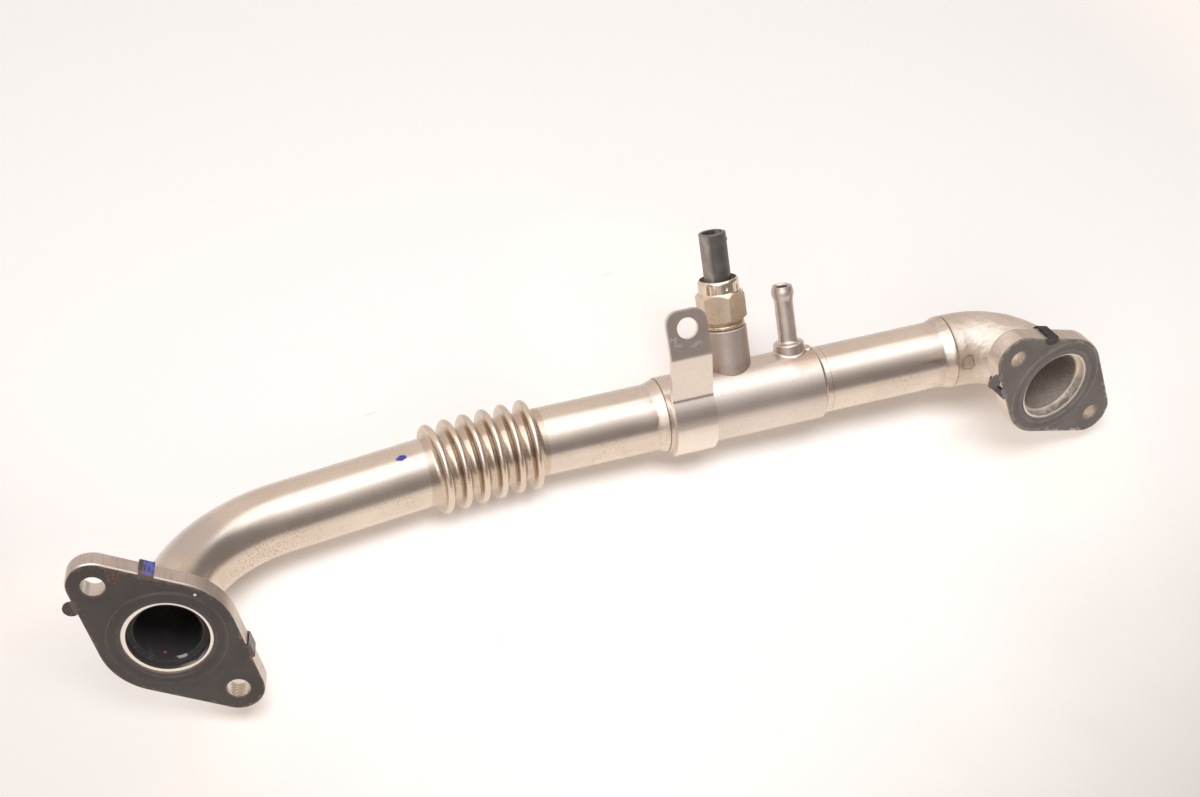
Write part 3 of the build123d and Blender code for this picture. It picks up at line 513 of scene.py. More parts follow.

# %% [markdown]
# The outlet tube is the same steel, cleaner, with golden flecks along its lower side and a tint
# beside the weld. A water mark, which the elbow gets beside the weld, is darkest at its rim, so its
# mask is a thin ring: a distance warped by noise, kept only where it comes near one number.

# %% The outlet tube
steel, roughness, skin = drawn_steel("outlet_tube_steel", long_run)
flecks = steel.blots(1.1, 4.0, 0.50, 0.64)
patches = steel.blots(0.13, 4.0, 0.45, 0.6)
lower = steel.facing((0.0, -0.97, -0.2)).spread(0.1, 0.8)
steel.paint(lower * flecks * patches * 0.5, (0.52, 0.40, 0.27))


def water_mark(finish, centre, size, strength):
    """A dried drop: a thin brown rim and a faint stain inside it."""
    warped = finish.from_point(centre) + finish.cloud(0.22, 3.0) * 6.0
    rim = (warped - (size + 3.0)).size().spread(0.7, 0.25)
    inside = warped.spread(size + 3.2, size + 2.6)
    finish.paint(inside * 0.3 * strength, (0.52, 0.40, 0.33))
    finish.paint(rim * 0.65 * strength, (0.27, 0.17, 0.11))


near_weld = steel.along(elbow_start, long_run).spread(-12.0, -5.5)
steel.paint(near_weld * (0.25 + patches * 0.4), (0.60, 0.48, 0.42))
from_end = steel.along(housing_end, long_run)
# painted shade and dirt: a dark line on the tube right behind the housing's end
crevice = from_end.spread(0.75, 0.35) * (from_end > -0.5)
steel.paint(crevice * 0.8, (0.22, 0.15, 0.11))
faint_line = (from_end - 3.0 - steel.cloud(0.3, 2.0) * 0.8).size().spread(0.25, 0.1)
steel.paint(faint_line * 0.5, (0.40, 0.31, 0.25))
inside = steel.from_axis(housing_start, long_run).spread(*TUBE_BORE)
steel.paint(inside, SOOT)
outlet_steel = steel.complete(roughness + inside * 0.4, skin, 0.35, 0.05, 1.0 - inside)
print("heat tint beside the weld")

# %% [markdown]
# The housing is turned and then blasted, so it is more matt than the tube and sparkles in small
# points. Its stains are brown and lie round the nipple. The same function serves the boss, which
# keeps faint turning lines round its own axis.

# %% Blasted and turned steel
def blasted_steel(name, pale, dark, roughness, sparkle=1.0):
    """Matt steel with bright and dark points; returns the same three things."""
    finish = surface(name)
    tone = finish.blots(0.06, 4.0, 0.34, 0.66)
    points = finish.cloud(2.4, 2.0)
    finish.colour = finish.mix(tone, dark, pale)
    finish.paint(points.spread(0.55, 0.72) * 0.4 * sparkle, (0.44, 0.36, 0.30))
    finish.paint(points.spread(0.42, 0.30) * 0.35 * sparkle, (0.90, 0.83, 0.76))
    return finish, roughness + points.spread(0.3, 0.7) * 0.08 + tone * 0.03, points


pale, dark = (0.75, 0.665, 0.61), (0.70, 0.615, 0.56)
sleeve, roughness, skin = blasted_steel("housing_steel", pale, dark, 0.27)
from_nipple = sleeve.from_point((252.5, 61.5, -2.5)) + sleeve.cloud(0.2, 4.0) * 8.0
sleeve.paint(from_nipple.spread(15.0, 9.0) * 0.6, (0.50, 0.36, 0.25))
upper_back = sleeve.facing((0.0, 0.6, 0.8)).spread(0.2, 0.95)
back_grime = sleeve.blots(0.09, 5.0, 0.5, 0.68) * upper_back
sleeve.paint(back_grime * 0.12, (0.55, 0.44, 0.35))
from_start = sleeve.along(housing_start, long_run)
crevice = from_start.spread(0.45, 0.15)
sleeve.paint(crevice * 0.4, (0.25, 0.18, 0.14))
inside = sleeve.from_axis(housing_start, long_run).spread(*HOUSING_BORE)
sleeve.paint(inside, SOOT)
housing_steel = sleeve.complete(roughness + inside * 0.4, skin, 0.5, 0.05, 1.0 - inside)

pale, dark = (0.62, 0.535, 0.485), (0.57, 0.49, 0.44)
ring, roughness, skin = blasted_steel("boss_steel", pale, dark, 0.45, 0.6)
turned = ring.cloud(3.0, 1.0, ring.drawn(long_run.cross(fitting_out), 0.05))
ring.paint(turned.spread(0.55, 0.75) * 0.3, (0.42, 0.36, 0.31))
foot = ring.along(sensor_base, fitting_out).spread(17.5, 13.0)
foot = foot * ring.blots(0.25, 4.0, 0.35, 0.6)
ring.paint(foot * 0.5, (0.40, 0.30, 0.22))
boss_steel = ring.complete(roughness, skin + turned * 0.5, 0.4, 0.05)
print("housing and boss done")

# %% [markdown]
# The inlet flange is laser cut from plate, dark grey on its edge with fine lines where the beam
# ran through it. Its face shows only as a bright narrow ring round the mouth, pressed clean by the
# gasket's bead. The recess inside that ring is black but for a lip at the lower left, which is lit
# and makes the ring look thicker there. The bolt holes are bright and ribbed. An outline is kept as
# the radius of its round middle, the radius of its lobes and the spacing of its holes.

# %% The inlet flange
INLET_OUTLINE = (23.5, 8.8, 64.2)
OUTLET_OUTLINE = (20.8, 8.7, 58.6)


def from_holes(finish, centre, outward, along_way, spacing):
    """How far a point lies from the axis of the nearer bolt hole."""
    holes = [centre + along_way * (spacing * half) for half in (0.5, -0.5)]
    first, second = (finish.from_axis(hole, outward) for hole in holes)
    return first.sum("MINIMUM", second)


LAND, RECESS, RIB_PITCH = (15.9, 15.6), (14.0, 13.82), 1.25
plate = surface("flange_plate")
depth = plate.along(inlet_centre, -inlet_out)
radius = plate.from_axis(inlet_centre, inlet_out)
tone = plate.blots(0.09, 4.0, 0.35, 0.65)
beam = plate.cloud(1.4, 2.0, plate.drawn(inlet_out, 0.08))
plate.colour = plate.mix(tone, (0.54, 0.46, 0.42), (0.63, 0.55, 0.505))
plate.paint(beam.spread(0.5, 0.72) * 0.35, (0.36, 0.29, 0.24))
# a lighter band on the plate's chamfer: partly worn edge, partly painted highlight
lean = plate.facing(inlet_out).size()
edge = lean.spread(0.35, 0.6) * lean.spread(0.93, 0.8)
plate.paint(edge * 0.6, (0.80, 0.74, 0.68))
land = (depth < 0.4) * radius.spread(*LAND)
plate.paint(land, (0.90, 0.86, 0.81))
# painted shade: the ring's inner edge is darkened at the upper right, so the ring looks thinner
# there
top_right = plate.along(inlet_centre, (0.8, -0.2, 0.55)).spread(-6.0, 6.0)
thin_side = (radius - top_right * 0.5).spread(13.9, 13.75)
plate.paint(land * thin_side, SOOT)
near_hole = from_holes(plate, inlet_centre, inlet_out, inlet_along, INLET_OUTLINE[2])
in_hole = near_hole.spread(4.35, 4.2)
plate.paint(in_hole, (0.72, 0.66, 0.60))
ribs = (depth * (2 * pi / RIB_PITCH)).sum("SINE")
low_left = plate.along(inlet_centre, (-0.62, -0.1, -0.78)).spread(-6.0, 2.0)
in_recess = radius.spread(*RECESS)
lit_wall = in_recess * low_left * (depth < 1.3)
plate.paint(lit_wall, (0.90, 0.85, 0.79))
recess = in_recess * (depth > 0.05) * (1.0 - lit_wall)
plate.paint(recess, SOOT)
roughness = 0.30 + beam * 0.14 - land * 0.12 - in_hole * 0.1 + recess * 0.4
skin = beam * (1.0 - land) * 0.8 + ribs * in_hole * 0.6
flange_plate = plate.complete(roughness, skin, 0.5, 0.08, 1.0 - recess)
print("flange plate with ribs", RIB_PITCH, "mm apart in its holes")

# %% [markdown]
# The elbow is an investment casting: a skin of small soft bumps, satin from blasting. Inside, the
# recess and the thin ring before the bore are machined bright, and painted pale and partly matt as
# a painted reflection on the recess wall, with soot streaked over the lower half of the recess, and
# the bore behind them is brown grey. A cast skin is rounder than any one noise texture, so three
# sizes are added.

# %% The cast elbow
casting = surface("cast_steel")
depth = casting.along(outlet_centre, -outlet_out)
radius = casting.from_axis(outlet_centre, outlet_out)
tone = casting.blots(0.07, 4.0, 0.34, 0.66)
bumps = casting.cloud(0.75, 3.0)
lumps = casting.cloud(0.3, 3.0)
fine = casting.cloud(2.6, 2.0)
casting.colour = casting.mix(tone, (0.69, 0.595, 0.52), (0.77, 0.685, 0.61))
casting.paint(fine.spread(0.56, 0.75) * 0.4, (0.47, 0.39, 0.32))
casting.paint(bumps.spread(0.62, 0.75) * 0.3, (0.55, 0.45, 0.36))
casting.paint(lumps.spread(0.44, 0.60) * 0.3, (0.60, 0.51, 0.45))
water_mark(casting, (315.3, 45.4, -5.2), 2.6, 0.75)
from_start = casting.along(elbow_start, long_run)
upward_face = casting.facing((0.0, 0.3, 0.95))
crevice = from_start.spread(0.5, 0.2) * upward_face.spread(0.38, 0.62)
casting.paint(crevice * 0.55, (0.20, 0.13, 0.10))
# a lighter band on the chamfer round the mouth: partly worn edge, partly painted highlight
lean = casting.facing(outlet_out).size()
edge = lean.spread(0.35, 0.55) * lean.spread(0.9, 0.75)
casting.paint(edge * (depth < 9.0) * 0.35, (0.85, 0.79, 0.72))
print("cast skin")

# %% The elbow's mouth and bore
MOUTH, ELBOW_BORE = (14.9, 14.75), (12.9, 12.5)
near_mouth = radius.spread(*MOUTH) * (depth < 30.0)
bore = radius.spread(*ELBOW_BORE) * (depth > 3.0) * (depth < 16.0)
way_round = bend_ring(casting, elbow_corner, long_run, outlet_out, ELBOW_BEND)
deep = way_round.spread(13.0, 12.6) * (from_start > 3.0) * (depth > 11.0)
bore = bore.larger(deep)
# machined bright metal, painted pale and partly matt as a painted reflection where the recess wall
# faces away from the light
machined_and_painted_reflection = near_mouth * (depth < 3.35) * (1.0 - bore)
casting.paint(machined_and_painted_reflection, (0.90, 0.81, 0.72))
low_half = casting.along(outlet_centre, (-0.1, 0.0, -1.0)).spread(-2.0, 5.0)
wall_round = machined_and_painted_reflection * casting.facing(outlet_out).spread(0.7, 0.4) * low_half
streaked = casting.cloud(0.45, 3.0, casting.drawn(outlet_along, 0.3)).spread(0.40, 0.66)
sooted = casting.mix(streaked, (0.30, 0.255, 0.23), (0.55, 0.49, 0.45))
casting.paint(wall_round, sooted)
bore_tone = casting.mix(fine.spread(0.40, 0.62), (0.24, 0.20, 0.175), (0.42, 0.36, 0.32))
casting.paint(bore, bore_tone)
near_hole = from_holes(casting, outlet_centre, outlet_out, outlet_along, OUTLET_OUTLINE[2])
in_hole = near_hole.spread(3.6, 3.4)
casting.paint(in_hole, (0.80, 0.74, 0.68))
roughness = 0.40 + fine.spread(0.3, 0.7) * 0.1 - machined_and_painted_reflection * 0.1
roughness = roughness + bore * 0.2 - in_hole * 0.15
skin = (bumps + lumps * 9.0 + fine * 0.35) * (1.0 - machined_and_painted_reflection)
bare = 1.0 - bore * 0.75 - machined_and_painted_reflection * 0.55
cast_steel = casting.complete(roughness, skin, 0.5, 0.09, bare)
print("casting with machined mouth")

# %% [markdown]
# A gasket is thin sheet steel in a dark coat. The coat is worn through along the rim, so the mask
# must know how far a point lies inside the outline. The outline is two lobes and a round middle
# joined by straight lines, and the distance is worked out piece by piece.

# %% A gasket's coat
def rim_distance(finish, centre, along_way, across_way, outline):
    """How far inside the outline of a two-lobed sheet a point lies; 0 on the rim."""
    middle, lobe, spacing = outline
    lean = (middle - lobe) / (spacing / 2)
    upright = sqrt(1 - lean * lean)
    along = finish.along(centre, along_way).size()
    across = finish.along(centre, across_way).size()
    straight = along * lean + across * upright - middle
    travel = along * upright - across * lean
    round_middle = (along * along + across * across).root() - middle
    beside = along - spacing / 2
    round_lobe = (beside * beside + across * across).root() - lobe
    first = straight + (travel < 0.0) * (round_middle - straight)
    return 0.0 - (first + (travel > spacing / 2 * upright) * (round_lobe - first))


BEAD, OUTER_LIP, INNER_LIP = 18.0, 20.0, 16.4


def gasket_coat(name, centre, outward, along_way, across_way, outline, hole, bore, coat, worn):
    """Coated sheet with a pressed bead, a worn rim and a rubbed ring round each bolt hole."""
    finish = surface(name, 0.0)

    def tinted(amount):
        return tuple(channel * amount for channel in coat)

    rim = rim_distance(finish, centre, along_way, across_way, outline)
    radius = finish.from_axis(centre, outward)
    near_hole = from_holes(finish, centre, outward, along_way, outline[2])
    tone = finish.blots(0.07, 4.0, 0.34, 0.66)
    fine = finish.cloud(1.8, 3.0)
    rubbed = finish.cloud(0.35, 5.0)
    finish.colour = finish.mix(tone, coat, tinted(1.3))
    finish.paint(fine.spread(0.55, 0.78) * 0.5, tinted(1.9))
    crest = (radius - BEAD).size().spread(1.9, 0.5)
    finish.paint(crest * 0.3, tinted(0.6))
    # painted highlight along the bead's outer and inner lip lines, broken up by the rubbed cloud
    lip = (radius - OUTER_LIP).size().spread(0.45, 0.15)
    inner_lip = (radius - INNER_LIP).size().spread(0.7, 0.2)
    lips = lip.larger(inner_lip * 0.6) * rubbed.spread(0.3, 0.55)
    finish.paint(lips * 0.5, tinted(2.6))
    wear = (rim - (rubbed - 0.5) * 5.0).spread(0.6, 0.1) * rim.spread(-1.3, -0.7)
    cut = finish.facing(outward).size().spread(0.6, 0.4)
    sheet_side = cut * (finish.along(centre, outward).size() < 1.2)
    finish.paint(wear * 0.5, worn)
    finish.paint(sheet_side * rubbed.spread(0.44, 0.56) * 0.7, worn)
    press = (near_hole - (hole + 1.9)).size().spread(1.7, 1.0)
    finish.paint(press * 0.3, tinted(0.7))
    hole_rim = near_hole.spread(hole + 0.35, hole + 0.12)
    bore_rim = radius.spread(bore + 0.32, bore + 0.1)
    finish.paint(hole_rim.larger(bore_rim) * 0.55, worn)
    roughness = 0.40 + fine.spread(0.3, 0.7) * 0.14 - press * 0.08
    return finish, roughness, fine + rubbed * 0.4, rubbed, rim


coat, roughness, skin, rubbed, rim = gasket_coat(
    "inlet_gasket_coat", inlet_centre, inlet_out, inlet_along, inlet_across,
    INLET_OUTLINE, 4.1, 15.35, (0.045, 0.037, 0.036), (0.17, 0.115, 0.085),
)
flakes = coat.blots(0.75, 4.0, 0.60, 0.68) * rim.spread(3.5, 1.0)
coat.paint(flakes * 0.4, (0.24, 0.15, 0.10))
rust = (coat.from_point((-14.5, 13.7, 23.7)) + rubbed * 5.0).spread(5.4, 3.6)
rust = rust * coat.blots(1.1, 4.0, 0.46, 0.56)
coat.paint(rust * 0.7, (0.20, 0.085, 0.04))
small_rust = coat.spot((37.0, -9.6, 3.0), 1.3, 0.9)
coat.paint(small_rust * 0.7, (0.17, 0.055, 0.025))
speck = coat.spot((10.6, 4.4, 17.8), 0.6, 0.45)
coat.paint(speck, (0.75, 0.72, 0.68))
from_clip = coat.from_point((-2.0, 16.5, 23.0))
on_clip = coat.facing((0.34, 0.3, 0.89)).spread(0.6, 0.8) * (from_clip < 6.5)
strokes = coat.cloud(0.9, 2.0, coat.drawn(inlet_out, 0.25))
inner_paint = coat.along((-1.9, 16.0, 22.9), inlet_along).size().spread(2.0, 1.75)
coat.paint(on_clip * inner_paint * strokes.spread(0.42, 0.50), (0.09, 0.12, 0.46))
right_clip = coat.along(inlet_centre, -inlet_out).spread(0.6, 1.0) * (from_clip > 12.0)
clip_grey = coat.mix(rubbed.spread(0.42, 0.5), (0.09, 0.08, 0.075), (0.27, 0.25, 0.24))
coat.paint(right_clip * 0.8, clip_grey)
inlet_coat = coat.complete(roughness, skin, 0.35, 0.05)
print("inlet gasket: black, with blue paint on a clip")

# %% [markdown]
# The outlet gasket has a grey coat. Its rim is scuffed bright along the bottom, and its two clips
# are nearly black, so the coat darkens where the sheet stands away from the joint face.

# %% The outlet gasket
coat, roughness, skin, rubbed, rim = gasket_coat(
    "outlet_gasket_coat", outlet_centre, outlet_out, outlet_along, outlet_across,
    OUTLET_OUTLINE, 3.3, 14.7, (0.125, 0.107, 0.100), (0.30, 0.26, 0.235),
)
CLIP_BLACK = (0.016, 0.015, 0.015)
behind = coat.along(outlet_centre, outlet_out).spread(0.1, -0.3)
coat.paint(behind, CLIP_BLACK)
top_fold = coat.spot((337.5, 34.5, 23.0), 5.0, 4.2)
coat.paint(top_fold * 0.85, CLIP_BLACK)
bottom = coat.along(outlet_centre, (0.35, 0.1, -0.93)).spread(14.0, 20.0)
scuffed = (rim - (rubbed - 0.5) * 9.0).spread(1.1, 0.5) * bottom
coat.paint(scuffed * coat.blots(1.3, 3.0, 0.45, 0.6) * 0.7, (0.62, 0.58, 0.55))
outlet_coat = coat.complete(roughness + 0.1, skin, 0.35, 0.05)
print("outlet gasket: grey")

# %% [markdown]
# The sensor's body is zinc nickel plated, a pale gold. The hexagon is satin with pulled grain, and
# the crimped collar above it is polished like a mirror. The height over the pipe's axis tells the
# two apart, so one material serves the whole turned piece. Small hidden pieces are plainer.

# %% The sensor's metal
def worn(name, metallic, cloud, limits, dark, pale, roughness, bump):
    """A plain finish, where one cloud mixes two colours, roughens and tilts the surface."""
    finish = surface(name, metallic)
    wear = finish.cloud(*cloud)
    finish.colour = finish.mix(wear.spread(*limits), dark, pale)
    return finish.complete(roughness[0] + wear * roughness[1], wear, *bump)


GROOVE, COLLAR, CONNECTOR_TOP, NIPPLE_TIP = 31.1, 42.2, 64.2, 39.0
plated = surface("sensor_plating")
height = plated.along(sensor_base, fitting_out)
tone = plated.blots(0.13, 4.0, 0.35, 0.65)
fine = plated.cloud(2.2, 2.0)
pulled = plated.cloud(1.6, 2.0, plated.drawn(fitting_out, 0.1))
collar = height.spread(COLLAR, COLLAR + 0.5)
plated.colour = plated.mix(tone, (0.70, 0.575, 0.455), (0.77, 0.655, 0.535))
plated.paint(fine.spread(0.56, 0.75) * 0.4, (0.46, 0.36, 0.26))
plated.paint(collar * 0.75, (0.84, 0.74, 0.61))
# painted shade: a dark brown line in the groove above the washer
groove = (height - GROOVE).size().spread(0.9, 0.35)
plated.paint(groove * 0.6, (0.42, 0.28, 0.15))
roughness = 0.27 + fine.spread(0.3, 0.7) * 0.07 - collar * 0.20
sensor_plating = plated.complete(roughness, pulled * 0.6 + fine * 0.4, 0.3, 0.03)

washer_gold = worn(
    "washer_gold", 1.0, (0.9, 3.0), (0.4, 0.6),
    (0.56, 0.44, 0.31), (0.76, 0.65, 0.51), (0.26, 0.14), (0.3, 0.03),
)
probe_steel = worn(
    "probe_steel", 1.0, (0.7, 4.0), (0.4, 0.62),
    (0.10, 0.085, 0.075), (0.34, 0.29, 0.25), (0.45, 0.2), (0.3, 0.03),
)
sooty_weld = worn(
    "sooty_weld", 0.0, (0.7, 4.0), (0.45, 0.7),
    (0.014, 0.0125, 0.013), (0.045, 0.040, 0.037), (0.5, 0.2), (0.5, 0.08),
)
print("sensor, washer, probe and sooty weld done")

# %% [markdown]
# The connector is moulded plastic with a satin sheen, slightly dusty. Fine lines from the mould
# run up its sides. The two blades in its socket are tinned brass, and the seal under it is rubber.

# %% The connector, its blades and its seal
shell = surface("connector_plastic", 0.0)
dusty = shell.blots(0.25, 5.0, 0.45, 0.7)
lines = shell.cloud(1.2, 2.0, shell.drawn(fitting_out, 0.04))
fine = shell.cloud(2.5, 2.0)
shell.colour = shell.mix(dusty, (0.058, 0.051, 0.048), (0.085, 0.075, 0.070))
shell.paint(fine.spread(0.60, 0.75) * 0.5, (0.13, 0.115, 0.105))
# painted highlight: the left facet is lightened as if lit from the left, varied a little by the
# dust cloud
left_facet_highlight = shell.facing((-0.95, -0.25, 0.19)).spread(0.72, 0.97)
shell.paint(left_facet_highlight * (0.65 + dusty * 0.35), (0.46, 0.39, 0.345))
top = shell.along(sensor_base, fitting_out)
top = top.spread(CONNECTOR_TOP, CONNECTOR_TOP + 0.7)
shell.paint(top * 0.6, (0.15, 0.135, 0.125))
shell.feed("Specular IOR Level", 0.85)
roughness = 0.27 + lines * 0.14 + dusty * 0.06
plastic = shell.complete(roughness, lines + fine * 0.4, 0.3, 0.05)

blade_tin = worn(
    "blade_tin", 1.0, (1.2, 3.0), (0.4, 0.62),
    (0.80, 0.70, 0.52), (0.90, 0.86, 0.78), (0.15, 0.15), (0.2, 0.02),
)

rubber = surface("seal_rubber", 0.0)
wear = rubber.cloud(0.8, 4.0)
rubber.colour = rubber.mix(wear, (0.012, 0.012, 0.012), (0.035, 0.033, 0.031))
seal_rubber = rubber.complete(0.6 + wear * 0.2, wear, 0.3, 0.04)

glass = surface("bead_glass", 0.0)
wear = glass.cloud(0.6, 3.0)
glass.feed("Base Color", glass.mix(wear, (0.10, 0.045, 0.02), (0.20, 0.10, 0.05)))
glass.feed("Roughness", 0.1 + wear * 0.1)
print("connector, blades, seal and bead done")

# %% [markdown]
# The nipple and its boss are satin steel, a little greyer than the pipe. The bracket is rolled
# sheet with a slanting grain. Its strap's front face carries painted light, which makes it lighter
# than its tab, the top of its wrap carries painted shade, the tab's rim has a painted highlight at
# the upper left, and under the hole a washer has rubbed bright crescents.

# %% The nipple
satin = surface("nipple_steel")
tone = satin.blots(0.2, 4.0, 0.35, 0.65)
lines = satin.cloud(1.4, 2.0, satin.drawn(fitting_out, 0.06))
fine = satin.cloud(2.2, 2.0)
satin.colour = satin.mix(tone, (0.64, 0.565, 0.515), (0.74, 0.665, 0.615))
satin.paint(fine.spread(0.56, 0.74) * 0.45, (0.38, 0.31, 0.26))
in_bore = satin.from_axis(nipple_base, fitting_out).spread(2.75, 2.6)
below_tip = satin.along(nipple_base, fitting_out)
below_tip = below_tip.spread(NIPPLE_TIP, NIPPLE_TIP - 3.0)
satin.paint(in_bore * below_tip, (0.16, 0.12, 0.10))
roughness = 0.31 + fine * 0.12 + tone * 0.04
nipple_steel = satin.complete(roughness, lines + fine * 0.6, 0.4, 0.04)
print("nipple done")

# %% The bracket
sheet = surface("bracket_sheet")
tone = sheet.blots(0.1, 4.0, 0.35, 0.65)
rolled = sheet.cloud(1.1, 3.0, sheet.drawn((0.72, 0.5, 0.48), 0.12))
fine = sheet.cloud(2.2, 2.0)
sheet.colour = sheet.mix(tone, (0.70, 0.61, 0.55), (0.78, 0.69, 0.625))
sheet.paint(rolled.spread(0.52, 0.7) * 0.12, (0.50, 0.42, 0.36))
# painted light: the strap's front face is lightened
strap = sheet.facing((-0.03, -0.7, 0.714)).spread(0.985, 0.965)
sheet.paint(strap * 0.8, (0.93, 0.84, 0.77))
# painted shade: the top of the wrap below the fold is darkened
wrap_top = sheet.facing((-0.03, -0.42, 0.907)).spread(0.90, 0.965)
sheet.paint(wrap_top * 0.62, (0.42, 0.355, 0.32))
tab_up = Vector((-0.0293, 0.7146, 0.6994))
past_flat = (sheet.along(bracket_hole, long_run).size() - 3.0).larger(0.0)
over_corner = (sheet.along(bracket_hole, tab_up) - 2.1).larger(0.0)
round_corner = (past_flat * past_flat + over_corner * over_corner).root() - 4.9
# painted highlight along the tab's rim at the upper left
upper_left = sheet.along(bracket_hole, (-0.7, 0.4, 0.4)).spread(-7.0, 2.0)
tab_rim = round_corner.spread(-0.65, -0.2) * upper_left
sheet.paint(tab_rim * (1.0 - strap) * 0.8, (1.0, 0.93, 0.88))
sheet.paint(fine.spread(0.56, 0.74) * 0.3, (0.42, 0.35, 0.30))
from_hole = sheet.from_point(bracket_hole)
rubs = sheet.spot((199.0, 63.9, 18.6), 3.4, 2.0)
rubs = rubs.larger(sheet.spot((206.8, 61.9, 17.0), 3.0, 1.8))
arc = (from_hole - 7.0 + (rolled - 0.5) * 5.0).size().spread(1.1, 0.3)
crescent = arc * rubs * fine.spread(0.3, 0.45)
sheet.paint(crescent, (1.0, 0.97, 0.95))
seat = from_hole.spread(8.6, 7.6) * (from_hole > 4.3)
sheet.paint(seat * 0.25, (0.50, 0.44, 0.40))
roughness = 0.28 + rolled * 0.12 + fine * 0.06 - crescent * 0.08
bracket_sheet = sheet.complete(roughness, rolled + fine * 0.5, 0.4, 0.04)
print("bracket done")

# %% [markdown]
# Braze and weld run where they like, so they aren't plain rings. Each one is built as a band round
# an axis: a closed profile is walked round in small steps, and noise moves its edge and lifts its
# crown a little at every step. The first three bands stand for the solid model's plain rings.

# %% The metal of the brazes and the weld
braze = surface("run_braze")
tone = braze.blots(0.3, 4.0, 0.36, 0.64)
fine = braze.cloud(1.8, 3.0)
braze.colour = braze.mix(tone, (0.68, 0.585, 0.51), (0.76, 0.67, 0.595))
braze.paint(fine.spread(0.56, 0.72) * 0.3, (0.50, 0.39, 0.31))
run_braze = braze.complete(0.27 + fine * 0.14, fine, 0.4, 0.05)

seam = surface("seam_braze")
fine = seam.cloud(1.5, 3.0)
from_end = seam.along(housing_end, long_run)
seam.colour = seam.mix(fine.spread(0.4, 0.65), (0.62, 0.53, 0.46), (0.78, 0.69, 0.61))
# painted shade and dirt: a dark line where the braze meets the housing's end
seam.paint(from_end.spread(0.9, 0.3) * 0.85, (0.16, 0.10, 0.08))
seam_braze = seam.complete(0.24 + fine * 0.16, fine, 0.4, 0.05)

welded = surface("weld_skin")
tone = welded.blots(0.2, 4.0, 0.36, 0.64)
fine = welded.cloud(1.6, 3.0)
welded.colour = welded.mix(tone, (0.64, 0.545, 0.475), (0.77, 0.69, 0.62))
welded.paint(fine.spread(0.58, 0.74) * 0.35, (0.48, 0.36, 0.28))
pinkish = (welded.from_point((309.0, 44.5, -9.0)) + fine * 3.0).spread(10.0, 5.0)
welded.paint(pinkish * 0.45, (0.62, 0.48, 0.42))
to_elbow = welded.along(elbow_start, long_run)
upward_face = welded.facing((0.0, 0.3, 0.95))
seam_line = to_elbow.spread(-0.35, -0.1) * upward_face.spread(0.3, 0.66)
welded.paint(seam_line * 0.45, (0.25, 0.17, 0.13))
weld_skin = welded.complete(0.21 + fine * 0.14, fine, 0.4, 0.05)
print("two brazes and a weld")

# %% A band of run metal
def run_band(name, place, profile, steps, material):
    """A closed profile walked round; place turns (step angle, along, radius) into a point."""
    shape = bmesh.new()
    rings = []
    for step in range(steps):
        turn = 2 * pi * step / steps
        rings.append([shape.verts.new(place(turn, *pair) * MM) for pair in profile(turn)])
    for step in range(steps):
        near, next_ring = rings[step], rings[(step + 1) % steps]
        for spot in range(len(near)):
            after = (spot + 1) % len(near)
            shape.faces.new((near[spot], near[after], next_ring[after], next_ring[spot]))
    bmesh.ops.recalc_face_normals(shape, faces=shape.faces)
    mesh = bpy.data.meshes.new(name)
    shape.to_mesh(mesh)
    shape.free()
    for face in mesh.polygons:
        face.use_smooth = True
    mesh.materials.append(material)
    piece = bpy.data.objects.new(name, mesh)
    scene.collection.objects.link(piece)
    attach(piece, "root")
    print(name, len(mesh.polygons), "faces")
    return piece


def ripple(turn, scale, seed):
    """Smooth noise on a circle, from -1 to 1, the same on every run."""
    return noise.noise(Vector((cos(turn) * scale, sin(turn) * scale, seed)))


# %% [markdown]
# On the long run the band's axis is the pipe's. Each profile is a row of points (along the pipe,
# radius). The braze at the housing's inlet end is a hollow fillet that creeps about 5 mm along the
# tube, and the one at its outlet end is low and short. The weld at the elbow is a round bead whose
# crown rises and falls, with a lump at the top where it was started and stopped.

# %% Braze at the housing and weld at the elbow
side_way = Vector((0.0, 1.0, 0.0))
rise_way = long_run.cross(side_way)
SUNK = TUBE - 0.04


def round_run(start):
    def place(turn, along, radius):
        return start + long_run * along + (side_way * cos(turn) + rise_way * sin(turn)) * radius
    return place


def housing_fillet(turn):
    reach = 4.8 + 1.2 * ripple(turn, 1.5, 3.0) + 0.35 * ripple(turn, 6.0, 5.0)
    crown = 1.36 + 0.06 * ripple(turn, 5.0, 9.0)
    points = [(-0.03, SUNK), (-0.03, TUBE + crown - 0.12)]
    for step in range(1, 13):
        part = step / 12
        swell = 0.10 * ripple(turn, 3.0, 20.0 + part * 3) * (1 - part) * part
        points.append((-0.03 - reach * part, SUNK + (crown + 0.04) * (1 - part) ** 1.7 + swell))
    return points


at_start, at_end = round_run(housing_start), round_run(housing_end)
fillet = run_band("housing_inlet_braze_run", at_start, housing_fillet, 180, run_braze)
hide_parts("housing_braze_inlet")


def outlet_fillet(turn):
    reach = 1.5 + 0.3 * ripple(turn, 3.0, 14.0)
    crown = 0.75 + 0.12 * ripple(turn, 4.0, 15.0)
    points = [(-0.2, SUNK), (-0.2, TUBE + crown)]
    for step in range(9):
        part = step / 8
        points.append((0.05 + reach * part, SUNK + (crown + 0.04) * (1 - part) ** 1.8))
    return points


fillet = run_band("housing_outlet_braze_run", at_end, outlet_fillet, 180, seam_braze)
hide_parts("housing_braze_outlet")


